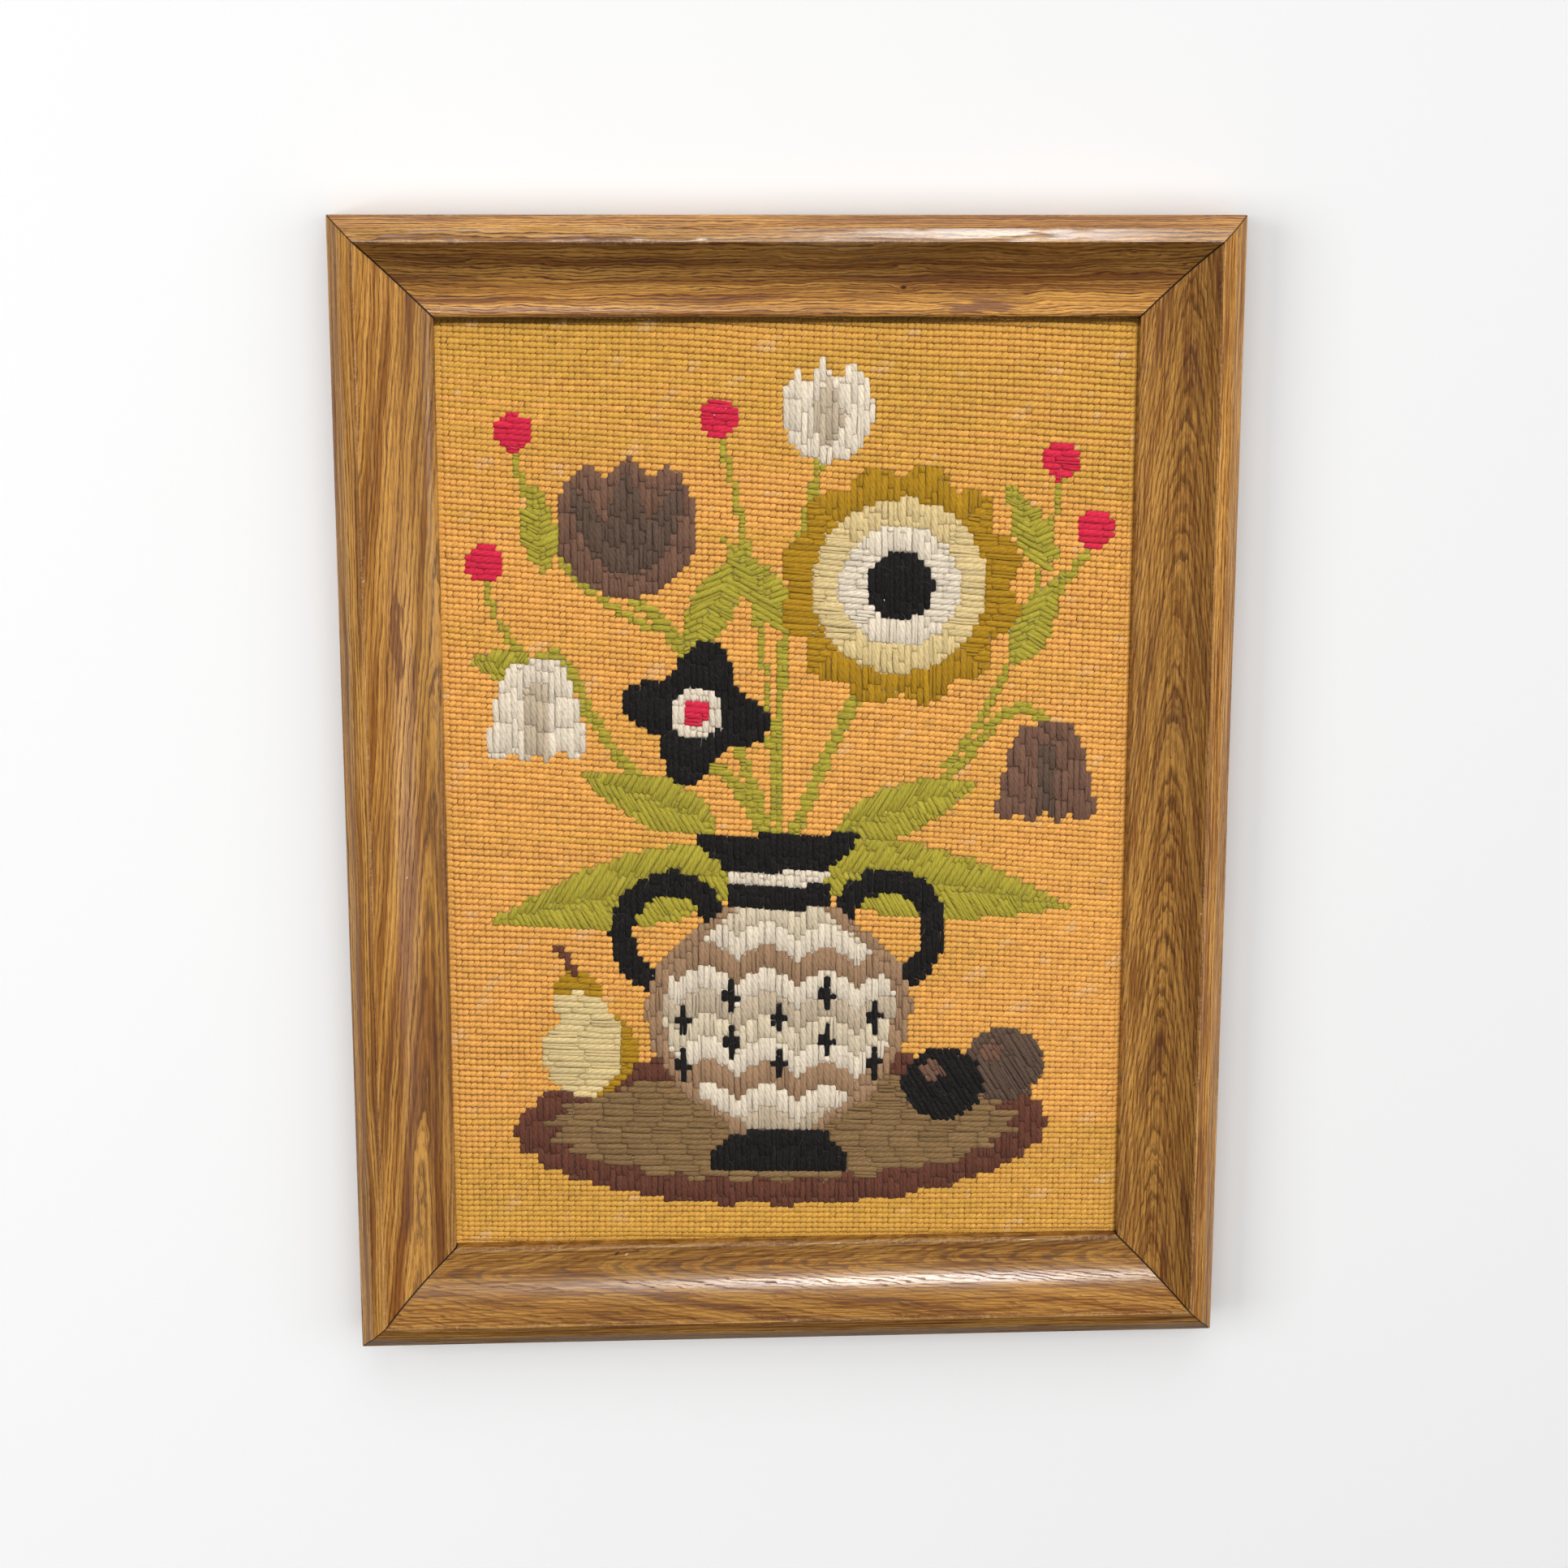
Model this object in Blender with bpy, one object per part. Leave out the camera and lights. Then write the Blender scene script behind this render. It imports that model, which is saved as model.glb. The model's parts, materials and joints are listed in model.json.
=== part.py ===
"""Framed wool embroidery: a mitred oak moulding round a stretched, stitched canvas on a board.

The picture lies on its back. +X is the picture's right, +Y is its top, and +Z comes out of its face.
The origin is on the resting plane, below the middle of the frame.
"""

import math

import bmesh
import bpy
from mathutils import Matrix, Vector

MM = 0.001

# Driving dimensions of the frame, in metres
FRAME_WIDTH = 364.0 * MM
FRAME_HEIGHT = 471.5 * MM
RAIL_WIDTH = 40.0 * MM
RAIL_DEPTH = 30.0 * MM
MITRE_GAP = 0.3 * MM
WELD_DISTANCE = 0.001 * MM

# Section of the moulding: inset is measured inward from the outer side, height from the back
SHOULDER_HEIGHT = 22.0 * MM
KINK_INSET = 5.0 * MM
KINK_HEIGHT = 27.4 * MM
RIDGE_INSET = 10.5 * MM
COVE_END_INSET = 38.8 * MM
COVE_END_HEIGHT = 13.4 * MM
COVE_STEEP_ANGLE = math.radians(55.0)
COVE_STEPS = 14
SIGHT_HEIGHT = 12.4 * MM
RABBET_WIDTH = 6.0 * MM
RABBET_DEPTH = 7.0 * MM

# The canvas, worked at ten stitches to the inch, and the board behind it
STITCH_PITCH = 2.54 * MM
SEAT_GAP = 0.3 * MM
SIDE_GAP = 0.5 * MM
CANVAS_EDGE_THICKNESS = 1.7 * MM
CREST_HEIGHT = 8.1 * MM
ROW_GROOVE = 0.5 * MM
ROW_WANDER = 0.35 * MM
CANVAS_UNEVENNESS = 0.25 * MM
CANVAS_COLUMNS = 4
CANVAS_SHOULDER = 1.4 * MM
LIP_CLEARANCE = 0.3 * MM
FLAT_ANGLE = math.radians(0.02)
BOARD_THICKNESS = 3.2 * MM

COLLECTION_NAME = "framed_embroidery"

# Base colour, roughness and metallic value of each finish, colours as linear RGB
FINISHES = {
    "varnished_oak": ((0.42, 0.21, 0.065), 0.38, 0.0),
    "marigold_wool": ((0.72, 0.36, 0.07), 0.92, 0.0),
    "plain_board": ((0.30, 0.19, 0.10), 0.80, 0.0),
}


def clear_scene():
    """Remove every object that the file holds."""
    for old in list(bpy.data.objects):
        bpy.data.objects.remove(old, do_unlink=True)


def make_collection(name):
    """Return a new collection linked to the scene."""
    collection = bpy.data.collections.new(name)
    bpy.context.scene.collection.children.link(collection)
    return collection


def make_material(name, finish):
    """Return a Principled material of one finish."""
    colour, roughness, metallic = FINISHES[finish]
    material = bpy.data.materials.new(name)
    material.use_nodes = True
    shader = material.node_tree.nodes["Principled BSDF"]
    shader.inputs["Base Color"].default_value = (*colour, 1.0)
    shader.inputs["Roughness"].default_value = roughness
    shader.inputs["Metallic"].default_value = metallic
    material.diffuse_color = (*colour, 1.0)
    return material


def add_object(bm, name, finish, collection):
    """Turn a closed bmesh into a named object with its own material, its faces pointing out."""
    bmesh.ops.recalc_face_normals(bm, faces=bm.faces)
    if bm.calc_volume(signed=True) < 0.0:
        bmesh.ops.reverse_faces(bm, faces=bm.faces)
    mesh = bpy.data.meshes.new(name)
    bm.to_mesh(mesh)
    bm.free()
    mesh.materials.append(make_material(name + "_" + finish, finish))
    item = bpy.data.objects.new(name, mesh)
    collection.objects.link(item)
    return item


def cove_points():
    """Return the hollow of the moulding, an arc that leaves the ridge steeply and levels out.

    The arc starts at the given steep angle below the horizontal. Its chord fixes the angle at which
    it ends, and the radius follows from the two.
    """
    run = COVE_END_INSET - RIDGE_INSET
    fall = RAIL_DEPTH - COVE_END_HEIGHT
    chord_angle = math.atan2(fall, run)
    level_angle = 2.0 * chord_angle - COVE_STEEP_ANGLE
    radius = run / (math.sin(COVE_STEEP_ANGLE) - math.sin(level_angle))
    points = []
    for step in range(COVE_STEPS + 1):
        angle = COVE_STEEP_ANGLE + (level_angle - COVE_STEEP_ANGLE) * step / COVE_STEPS
        inset = RIDGE_INSET + radius * (math.sin(COVE_STEEP_ANGLE) - math.sin(angle))
        height = RAIL_DEPTH - radius * (math.cos(angle) - math.cos(COVE_STEEP_ANGLE))
        points.append((inset, height))
    return points


def rail_section():
    """Return the closed outline of the moulding as pairs of inset and height."""
    rabbet_wall = RAIL_WIDTH - RABBET_WIDTH
    outline = [(0.0, 0.0), (0.0, SHOULDER_HEIGHT), (KINK_INSET, KINK_HEIGHT)]
    outline += cove_points()
    outline += [(RAIL_WIDTH, SIGHT_HEIGHT), (RAIL_WIDTH, RABBET_DEPTH)]
    outline += [(rabbet_wall, RABBET_DEPTH), (rabbet_wall, 0.0)]
    return outline


def moulding_stick(length):
    """Return a bmesh of the moulding's section drawn as a filled curve and extruded along Z."""
    section = bpy.data.curves.new("moulding_section", "CURVE")
    section.dimensions = "2D"
    section.fill_mode = "BOTH"
    section.extrude = 0.5 * length
    outline = rail_section()
    spline = section.splines.new("POLY")
    spline.points.add(len(outline) - 1)
    for point, (inset, height) in zip(spline.points, outline):
        point.co = (inset, height, 0.0, 1.0)
    spline.use_cyclic_u = True
    guide = bpy.data.objects.new("moulding_section", section)
    bpy.context.scene.collection.objects.link(guide)
    solid = bpy.data.meshes.new_from_object(guide.evaluated_get(bpy.context.evaluated_depsgraph_get()))
    bm = bmesh.new()
    bm.from_mesh(solid)
    bmesh.ops.remove_doubles(bm, verts=bm.verts, dist=WELD_DISTANCE)
    bpy.data.objects.remove(guide, do_unlink=True)
    bpy.data.meshes.remove(solid)
    return bm


def saw_mitre(bm, corner, outward):
    """Cut a rail through a corner of the frame, on the side that outward points to, and close the cut."""
    geometry = list(bm.verts) + list(bm.edges) + list(bm.faces)
    plane_point = corner - outward * (0.5 * MITRE_GAP)
    bmesh.ops.bisect_plane(
        bm, geom=geometry, plane_co=plane_point, plane_no=outward, clear_outer=True)
    open_edges = [edge for edge in bm.edges if edge.is_boundary]
    bmesh.ops.contextual_create(bm, geom=open_edges)


def make_rail(name, length, distance, turn, collection):
    """Make one mitred rail.

    A length of moulding is laid along X with its outer side at the given distance from the middle,
    sawn at both ends on the frame's diagonals, and turned about Z to its own side of the frame.
    """
    bm = moulding_stick(length)
    laid = Matrix.Rotation(math.radians(-90.0), 3, "Z") @ Matrix.Rotation(math.radians(90.0), 3, "X")
    bmesh.ops.transform(bm, matrix=laid.to_4x4(), verts=bm.verts)
    bmesh.ops.translate(bm, vec=(0.0, distance, 0.0), verts=bm.verts)
    for side in (-1.0, 1.0):
        corner = Vector((side * 0.5 * length, distance, 0.0))
        saw_mitre(bm, corner, Vector((side, -1.0, 0.0)).normalized())
    bmesh.ops.transform(bm, matrix=Matrix.Rotation(math.radians(turn), 4, "Z"), verts=bm.verts)
    return add_object(bm, name, "varnished_oak", collection)


def make_rails(collection):
    """Make the four rails of the frame."""
    make_rail("rail_top", FRAME_WIDTH, 0.5 * FRAME_HEIGHT, 0.0, collection)
    make_rail("rail_bottom", FRAME_WIDTH, 0.5 * FRAME_HEIGHT, 180.0, collection)
    make_rail("rail_left", FRAME_HEIGHT, 0.5 * FRAME_WIDTH, 90.0, collection)
    make_rail("rail_right", FRAME_HEIGHT, 0.5 * FRAME_WIDTH, -90.0, collection)


def inlay_size():
    """Return the width and height of what drops into the rabbet."""
    lost = 2.0 * (RAIL_WIDTH - RABBET_WIDTH + SIDE_GAP)
    return FRAME_WIDTH - lost, FRAME_HEIGHT - lost


def sight_size():
    """Return the width and height of the opening that shows the stitching."""
    return FRAME_WIDTH - 2.0 * RAIL_WIDTH, FRAME_HEIGHT - 2.0 * RAIL_WIDTH


def canvas_crown(x, y):
    """Return the wool's low unevenness at a point, two long waves that cross."""
    along = math.sin(21.0 * x + 13.0 * y)
    across = math.sin(9.0 * x - 27.0 * y + 0.8)
    return 0.5 * CANVAS_UNEVENNESS * (along + across)


def row_wander(x, row):
    """Return how far a row of stitches strays along Y, as canvas pulled by hand does."""
    return ROW_WANDER * math.sin(17.0 * x + 0.05 * row)


def grid_place(step, inner_steps, edge, lip, inner_start, inner_pitch):
    """Return a grid line's distance from the middle, and whether it lies at the height of the edge.

    Counted from one side, the lines are: the edge of the canvas, the foot of the lip, the inner
    lines at an even pitch, the foot of the lip again and the other edge.
    """
    last = inner_steps + 4
    if step in (0, last):
        return math.copysign(edge, step - 0.5 * last), True
    if step in (1, last - 1):
        return math.copysign(lip, step - 0.5 * last), True
    return inner_start + inner_pitch * (step - 2), False


def shape_canvas_top(bm, lines):
    """Raise a flat grid into the worked face of the canvas.

    Inside the opening, grid lines lie by turns on the crest of a row of stitches and in the groove
    between two rows. Under the lip of the frame the canvas is pressed flat.
    """
    edges = [0.5 * size for size in inlay_size()]
    lips = [0.5 * size - LIP_CLEARANCE for size in sight_size()]
    column_start = LIP_CLEARANCE + CANVAS_SHOULDER - lips[0]
    column_pitch = -2.0 * column_start / CANVAS_COLUMNS
    line_pitch = 0.5 * STITCH_PITCH
    line_start = -0.5 * line_pitch * lines
    for vert in bm.verts:
        column = round((vert.co.x + 0.5) * (CANVAS_COLUMNS + 4))
        line = round((vert.co.y + 0.5) * (lines + 4))
        x, at_side = grid_place(column, CANVAS_COLUMNS, edges[0], lips[0], column_start, column_pitch)
        y, at_end = grid_place(line, lines, edges[1], lips[1], line_start, line_pitch)
        height = RABBET_DEPTH - SEAT_GAP
        if not at_end:
            y += row_wander(x, line)
        if not at_side and not at_end:
            height = CREST_HEIGHT + canvas_crown(x, y) - ROW_GROOVE * (line % 2)
        vert.co = (x, y, height)


def make_canvas(collection):
    """Make the stitched canvas, one sheet with ribbed face, flat back and thin edge."""
    rows = math.floor((sight_size()[1] - 2.0 * CANVAS_SHOULDER) / STITCH_PITCH)
    lines = 2 * rows
    bm = bmesh.new()
    bmesh.ops.create_grid(bm, x_segments=CANVAS_COLUMNS + 4, y_segments=lines + 4, size=0.5)
    shape_canvas_top(bm, lines)
    rim = [edge for edge in bm.edges if edge.is_boundary]
    grown = bmesh.ops.extrude_edge_only(bm, edges=rim)
    lowered = [item for item in grown["geom"] if isinstance(item, bmesh.types.BMVert)]
    bmesh.ops.translate(bm, verts=lowered, vec=(0.0, 0.0, -CANVAS_EDGE_THICKNESS))
    back = [edge for edge in bm.edges if edge.is_boundary]
    bmesh.ops.contextual_create(bm, geom=back)
    bmesh.ops.dissolve_limit(bm, angle_limit=FLAT_ANGLE, verts=bm.verts, edges=bm.edges)
    return add_object(bm, "stitched_canvas", "marigold_wool", collection)


def make_board(collection):
    """Make the plain board that the canvas is stretched over."""
    width, height = inlay_size()
    top = RABBET_DEPTH - SEAT_GAP - CANVAS_EDGE_THICKNESS - SEAT_GAP
    bm = bmesh.new()
    bmesh.ops.create_cube(bm, size=1.0)
    bmesh.ops.scale(bm, vec=(width, height, BOARD_THICKNESS), verts=bm.verts)
    bmesh.ops.translate(bm, vec=(0.0, 0.0, top - 0.5 * BOARD_THICKNESS), verts=bm.verts)
    return add_object(bm, "backing_board", "plain_board", collection)


def main():
    """Build the whole framed embroidery."""
    clear_scene()
    parts = make_collection(COLLECTION_NAME)
    make_rails(parts)
    make_canvas(parts)
    make_board(parts)


main()
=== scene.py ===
"""Dresses the framed canvas work picture: wool stitches, canvas, oak moulding, board and a studio stage.

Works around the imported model. Positions are in metres unless a name or docstring says millimetres or threads.
"""

import json
import math
from collections import namedtuple

import bpy
import numpy as np
from bpy.props import FloatProperty, FloatVectorProperty, IntProperty, PointerProperty
from mathutils import Matrix, Vector

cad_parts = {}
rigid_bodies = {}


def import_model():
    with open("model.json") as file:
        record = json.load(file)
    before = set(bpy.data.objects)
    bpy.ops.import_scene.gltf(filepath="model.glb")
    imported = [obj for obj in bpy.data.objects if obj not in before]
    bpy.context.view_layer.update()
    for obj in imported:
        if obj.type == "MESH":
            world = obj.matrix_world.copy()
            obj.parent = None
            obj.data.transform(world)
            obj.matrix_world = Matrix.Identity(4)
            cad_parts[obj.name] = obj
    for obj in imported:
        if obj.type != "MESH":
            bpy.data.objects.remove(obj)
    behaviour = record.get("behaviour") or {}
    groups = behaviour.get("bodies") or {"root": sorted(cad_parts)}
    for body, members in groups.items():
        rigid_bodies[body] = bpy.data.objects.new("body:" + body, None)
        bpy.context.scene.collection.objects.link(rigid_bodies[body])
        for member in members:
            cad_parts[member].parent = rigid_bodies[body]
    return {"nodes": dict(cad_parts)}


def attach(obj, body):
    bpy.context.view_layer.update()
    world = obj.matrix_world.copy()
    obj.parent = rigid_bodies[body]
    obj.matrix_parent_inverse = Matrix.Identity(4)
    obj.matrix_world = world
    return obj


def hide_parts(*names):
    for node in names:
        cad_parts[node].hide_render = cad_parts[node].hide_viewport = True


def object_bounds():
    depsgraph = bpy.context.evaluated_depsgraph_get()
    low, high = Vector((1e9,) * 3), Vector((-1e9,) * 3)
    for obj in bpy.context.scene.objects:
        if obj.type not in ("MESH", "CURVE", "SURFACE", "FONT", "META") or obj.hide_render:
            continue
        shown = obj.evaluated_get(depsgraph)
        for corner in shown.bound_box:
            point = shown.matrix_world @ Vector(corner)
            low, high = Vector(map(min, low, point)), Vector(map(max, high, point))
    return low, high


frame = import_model()
CAD_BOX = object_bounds()

bl_info = {
    "name": "Framed canvas work picture",
    "version": (1, 0, 0),
    "blender": (4, 5, 0),
    "location": "3D View > Sidebar > Picture",
    "description": "Works a wool picture on canvas and finishes its oak frame",
    "category": "Object",
}

MM = 0.001
OUTER_LOW, OUTER_HIGH = CAD_BOX
OUTER_WIDTH = OUTER_HIGH.x - OUTER_LOW.x
OUTER_HEIGHT = OUTER_HIGH.y - OUTER_LOW.y

# Count of stitches across and up the design. The rows lie askew, so there are more than fit the canvas.
STITCHES_ACROSS = 114
STITCHES_UP = 172

# Angles of a tube's corners in degrees, from the underside round. Most are on the upper half, which shows.
STRAND_RING = (-90, -12, 40, 90, 140, 192)
GROUND_RING = (-90, -10, 42, 90, 138, 190)
SPECK_RING = (-90, 0, 90, 180)
FIBRE_RING = (-90, 30, 150)

# For each way of laying a long stitch: whether it runs across the picture, and how far it leans per thread.
LAYS = {
    "upright": (False, 0.0),
    "leaning_right": (False, 0.6),
    "leaning_left": (False, -0.6),
    "level": (True, 0.0),
    "level_rising": (True, 0.5),
    "level_falling": (True, -0.5),
}

# How a long stitch dips into its hole: over what length, how deep, and how far its tip reaches past the hole
DIP_LENGTH = 1.5 * MM
DIP_DEPTH = 0.70 * MM
TIP_REACH = 0.30 * MM

# Half the thickness of a ground stitch, and how far its rings lie under its crest from its foot to its head
GROUND_HALF_HEIGHT = 0.72 * MM
GROUND_DROPS = np.array([0.46, 0.05, 0.05, 0.46]) * MM
TIP_DROP = 1.25 * MM

# Colours of the varnished oak
DEEP_WOOD = (0.240, 0.087, 0.017)
LIGHT_WOOD = (0.605, 0.306, 0.070)
STAINED_WOOD = (0.150, 0.050, 0.022)
DARK_RING = (0.075, 0.022, 0.006)
KNOT_HEART = (0.025, 0.010, 0.006)
CHIPPED_WOOD = (0.70, 0.55, 0.36)
DARK_DENT = (0.030, 0.024, 0.022)
WORN_EDGE = (0.52, 0.33, 0.15)
MITRE_DUST = (0.040, 0.019, 0.009)

Form = namedtuple("Form", "wool lay reach ends")
Mark = namedtuple("Mark", "run across radius pale")
NOWHERE = (400, 0, 1)
# hollow and fade: painted shade of the hollow. rim: scales the upper rim facet, stain on top, painted light on
# the right.
Timber = namedtuple("Timber", (
    "along centre lean point_spacing line_spacing roundness sway quiver seed tone hollow fade bold banding "
    "gloss rim knot plume marks"
), defaults=(1.0, NOWHERE, NOWHERE, ()))


# Settings


def length(name, description, default):
    return FloatProperty(name=name, description=description, default=default, unit="LENGTH", precision=5)


def colour(name, description, default):
    return FloatVectorProperty(
        name=name, description=description, default=default, subtype="COLOR", size=3, min=0.0, max=1.0
    )


def power(name, description, default):
    return FloatProperty(name=name, description=description, default=default, min=0.0)


class MouldingSettings(bpy.types.PropertyGroup):
    """Section of the oak moulding, measured in from its outer side and up from its back."""

    rail_width: length("Rail width", "Outer side to sight edge", 0.040)
    shoulder_height: length("Shoulder height", "Top of the outer side", 0.022)
    kink_inset: length("Kink inset", "Where the two outer facets meet, in from the side", 0.005)
    kink_height: length("Kink height", "Where the two outer facets meet, above the back", 0.0274)
    ridge_inset: length("Ridge inset", "Crest of the moulding, in from the side", 0.0105)
    ridge_height: length("Ridge height", "Crest of the moulding, above the back", 0.030)
    cove_end_inset: length("Cove end inset", "Inner end of the hollow, in from the side", 0.0388)
    cove_end_height: length("Cove end height", "Inner end of the hollow, above the back", 0.0134)
    sight_height: length("Sight height", "Top of the sight edge", 0.0124)
    lip_height: length("Lip height", "Underside of the lip over the canvas", 0.007)
    rabbet_inset: length("Rabbet inset", "Wall of the rabbet, in from the side", 0.034)
    mitre_gap: length("Mitre gap", "Open line between two rails at a corner", 0.0003)
    edge_softness: length("Edge softness", "Radius that handling has worn onto the edges", 0.0003)
    cove_steepness: FloatProperty(
        name="Cove steepness", description="Slope of the hollow beside the ridge", default=math.radians(55.0),
        subtype="ANGLE",
    )
    stations: IntProperty(name="Stations", description="Rings of points along one rail", default=160, min=8)


class StitchSettings(bpy.types.PropertyGroup):
    """Canvas gauge and wool thickness."""

    thread_pitch: length("Thread pitch", "One canvas thread to the next", 0.00254)
    canvas_width: length("Canvas width", "Width of the cut canvas", 0.295)
    canvas_height: length("Canvas height", "Height of the cut canvas", 0.4025)
    canvas_back: length("Canvas back", "Height of the canvas's underside", 0.005)
    canvas_top: length("Canvas top", "Height of the bare canvas inside the frame", 0.0068)
    wool_top: length("Wool top", "Height of the crests of the stitches", 0.0081)
    ground_half_width: length("Ground half width", "Half a ground stitch's width, along its row", 0.00150)
    strand_half_height: length("Strand half height", "Half the thickness of the thickest strand", 0.00088)
    fibre_count: IntProperty(name="Stray fibres", description="Loose fibres on the wool", default=1500, min=0)
    seed: IntProperty(name="Seed", description="Changes the small differences between stitches", default=7)


class WoolColours(bpy.types.PropertyGroup):
    """Dyes of the wools and the bare canvas."""

    marigold: colour("Marigold", "Ground wool", (0.755, 0.376, 0.090))
    marigold_olive: colour("Olive marigold", "Duller lot of the ground wool", (0.605, 0.330, 0.060))
    black: colour("Black", "Black wool", (0.013, 0.011, 0.011))
    off_white: colour("Off-white", "Off-white wool", (0.69, 0.595, 0.465))
    cream: colour("Cream", "Cream wool", (0.62, 0.52, 0.37))
    straw: colour("Straw", "Pale yellow wool", (0.64, 0.49, 0.235))
    beige: colour("Beige", "Beige wool", (0.48, 0.385, 0.27))
    tan: colour("Tan", "Tan wool", (0.32, 0.195, 0.11))
    olive_gold: colour("Olive gold", "Olive gold wool", (0.38, 0.205, 0.013))
    olive_brown: colour("Olive brown", "Olive brown wool", (0.225, 0.135, 0.058))
    rust: colour("Rust", "Rust brown wool", (0.125, 0.045, 0.028))
    lime: colour("Lime", "Yellow-green wool", (0.37, 0.31, 0.036))
    raspberry: colour("Raspberry", "Raspberry wool", (0.60, 0.022, 0.058))
    taupe: colour("Taupe", "Grey-brown wool", (0.165, 0.086, 0.056))
    dark_taupe: colour("Dark taupe", "Dark grey-brown wool", (0.108, 0.068, 0.048))
    rubbed: colour("Rubbed", "Ground wool where rubbing has raised its fibres", (0.70, 0.45, 0.22))
    canvas: colour("Canvas", "Bare cotton canvas", (0.56, 0.54, 0.49))


class StageSettings(bpy.types.PropertyGroup):
    """Floor, lights and camera."""

    floor_colour: colour("Floor colour", "Plain floor", (0.93, 0.93, 0.93))
    room_light: power("Room light", "Brightness of the light from all round", 0.25)
    window_power: power("Window power", "Main light, high beyond the picture's top", 106.0)
    far_power: power("Far window power", "Low light that shines on the upper rim", 2.0)
    side_power: power("Side window power", "Weak light from the right, low over the floor", 3.0)
    top_power: power("Top power", "Narrow slanting light overhead, for the hollows", 2.8)
    floor_power: power("Floor power", "Wide light overhead for the floor alone", 18.6)
    floor_side_power: power("Floor side power", "Light from the left for the floor alone", 25.5)
    lens: FloatProperty(
        name="Lens", description="Focal length on a 36 mm sensor", default=63.255, unit="CAMERA"
    )


class Work:
    """What a step of the stitching needs: settings, design and the step's own seeded random numbers."""

    def __init__(self, scene, step):
        self.stitches = scene.picture_stitches
        self.moulding = scene.picture_moulding
        self.wools = scene.picture_wools
        self.design = draw_design(self.stitches.thread_pitch)
        self.rng = np.random.default_rng(self.stitches.seed + step)

    def dyes(self):
        """One colour for each form of the design."""
        return np.array([tuple(getattr(self.wools, form.wool)) for form in self.design.forms])


# Meshes from arrays


def make_piece(name, points, blocks, finish, coordinates=None, tints=None):
    """Makes one object from a point array and blocks of faces, each with one number of corners per face."""
    mesh = bpy.data.meshes.new(name)
    corners = np.concatenate([block.ravel() for block in blocks])
    sizes = np.concatenate([np.full(len(block), block.shape[1]) for block in blocks])
    starts = np.concatenate([[0], np.cumsum(sizes)[:-1]])
    mesh.vertices.add(len(points))
    mesh.vertices.foreach_set("co", np.asarray(points, dtype=np.float32).ravel())
    mesh.loops.add(len(corners))
    mesh.loops.foreach_set("vertex_index", corners.astype(np.int32))
    mesh.polygons.add(len(sizes))
    mesh.polygons.foreach_set("loop_start", starts.astype(np.int32))
    mesh.update(calc_edges=True)
    mesh.polygons.foreach_set("use_smooth", np.ones(len(sizes), dtype=bool))
    if coordinates is not None:
        layer = mesh.uv_layers.new(name="Strand")
        layer.data.foreach_set("uv", coordinates.astype(np.float32).ravel())
    if tints is not None:
        layer = mesh.color_attributes.new(name="Dye", type="FLOAT_COLOR", domain="POINT")
        opaque = np.ones((len(tints), 1))
        layer.data.foreach_set("color", np.hstack([tints, opaque]).astype(np.float32).ravel())
    if mesh.validate():
        raise RuntimeError(f"{name} has faces that Blender had to mend")
    mesh.materials.append(finish)
    piece = bpy.data.objects.new(name, mesh)
    bpy.context.scene.collection.objects.link(piece)
    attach(piece, "root")
    return piece


def tube_arrays(centre, side, half_width, half_height, tips, ring_angles, run):
    """Points, faces and strand coordinates of closed tubes, one for each row of centre.

    A tube's ring is centre + side * half_width * cos(angle) + up * half_height * sin(angle), with the angle
    going once round from the underside, and each end closes on a tip. The coordinates are the distance along
    the tube in millimetres and the share of the way round it.
    """
    count, rings, _ = centre.shape
    angle = np.radians(ring_angles)
    around = len(angle)
    out = side[:, None, None, :] * (half_width[:, :, None] * np.cos(angle))[..., None]
    up = np.zeros_like(out)
    up[..., 2] = half_height[:, :, None] * np.sin(angle)
    ring_points = (centre[:, :, None, :] + out + up).reshape(count, rings * around, 3)
    points = np.concatenate([tips[:, :1], ring_points, tips[:, 1:]], axis=1)
    per_tube = rings * around + 2
    first = np.arange(count)[:, None, None] * per_tube
    spot = np.arange(around)
    after = (spot + 1) % around
    ring = np.arange(rings - 1)[:, None] * around + 1
    quads = np.stack([ring + spot, ring + after, ring + around + after, ring + around + spot], axis=-1)
    last = (rings - 1) * around + 1
    opening = np.stack([np.zeros(around, int), 1 + after, 1 + spot], axis=-1)
    closing = np.stack([last + spot, last + after, np.full(around, per_tube - 1)], axis=-1)
    faces = [
        (first + opening[None]).reshape(-1, 3),
        (first[..., None] + quads[None]).reshape(-1, 4),
        (first + closing[None]).reshape(-1, 3),
    ]
    share = np.append(angle - angle[0], math.tau) / math.tau
    here, there = run[:, :-1, None], run[:, 1:, None]
    start, finish = run[:, :1], run[:, -1:]
    low, high = share[:-1], share[1:]
    middle = (low + high) / 2
    corner_maps = (
        ((count, around), (start - 0.3, middle, start, high, start, low)),
        ((count, rings - 1, around), (here, low, here, high, there, high, there, low)),
        ((count, around), (finish, low, finish, high, finish + 0.3, middle)),
    )
    coordinates = np.concatenate([
        np.stack([np.broadcast_to(value, shape) for value in values], axis=-1).reshape(-1, 2)
        for shape, values in corner_maps
    ])
    return points.reshape(-1, 3), faces, coordinates, per_tube


def make_tubes(name, centre, side, widths, tips, ring_angles, run, tint, finish, moulding=None):
    """One piece of closed wool tubes, each in its own tint. Given a moulding, they pass under its lip."""
    points, faces, coordinates, per_tube = tube_arrays(centre, side, *widths, tips, ring_angles, run)
    if moulding is not None:
        points[:, 2] = seat_height(points[:, 0], points[:, 1], points[:, 2], moulding)
    return make_piece(name, points, faces, finish, coordinates, np.repeat(tint, per_tube, axis=0))


def raised(place, height):
    """Points with a height from places in the plane of the picture."""
    return np.concatenate([place, np.broadcast_to(height, place.shape[:-1])[..., None]], axis=-1)


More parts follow.
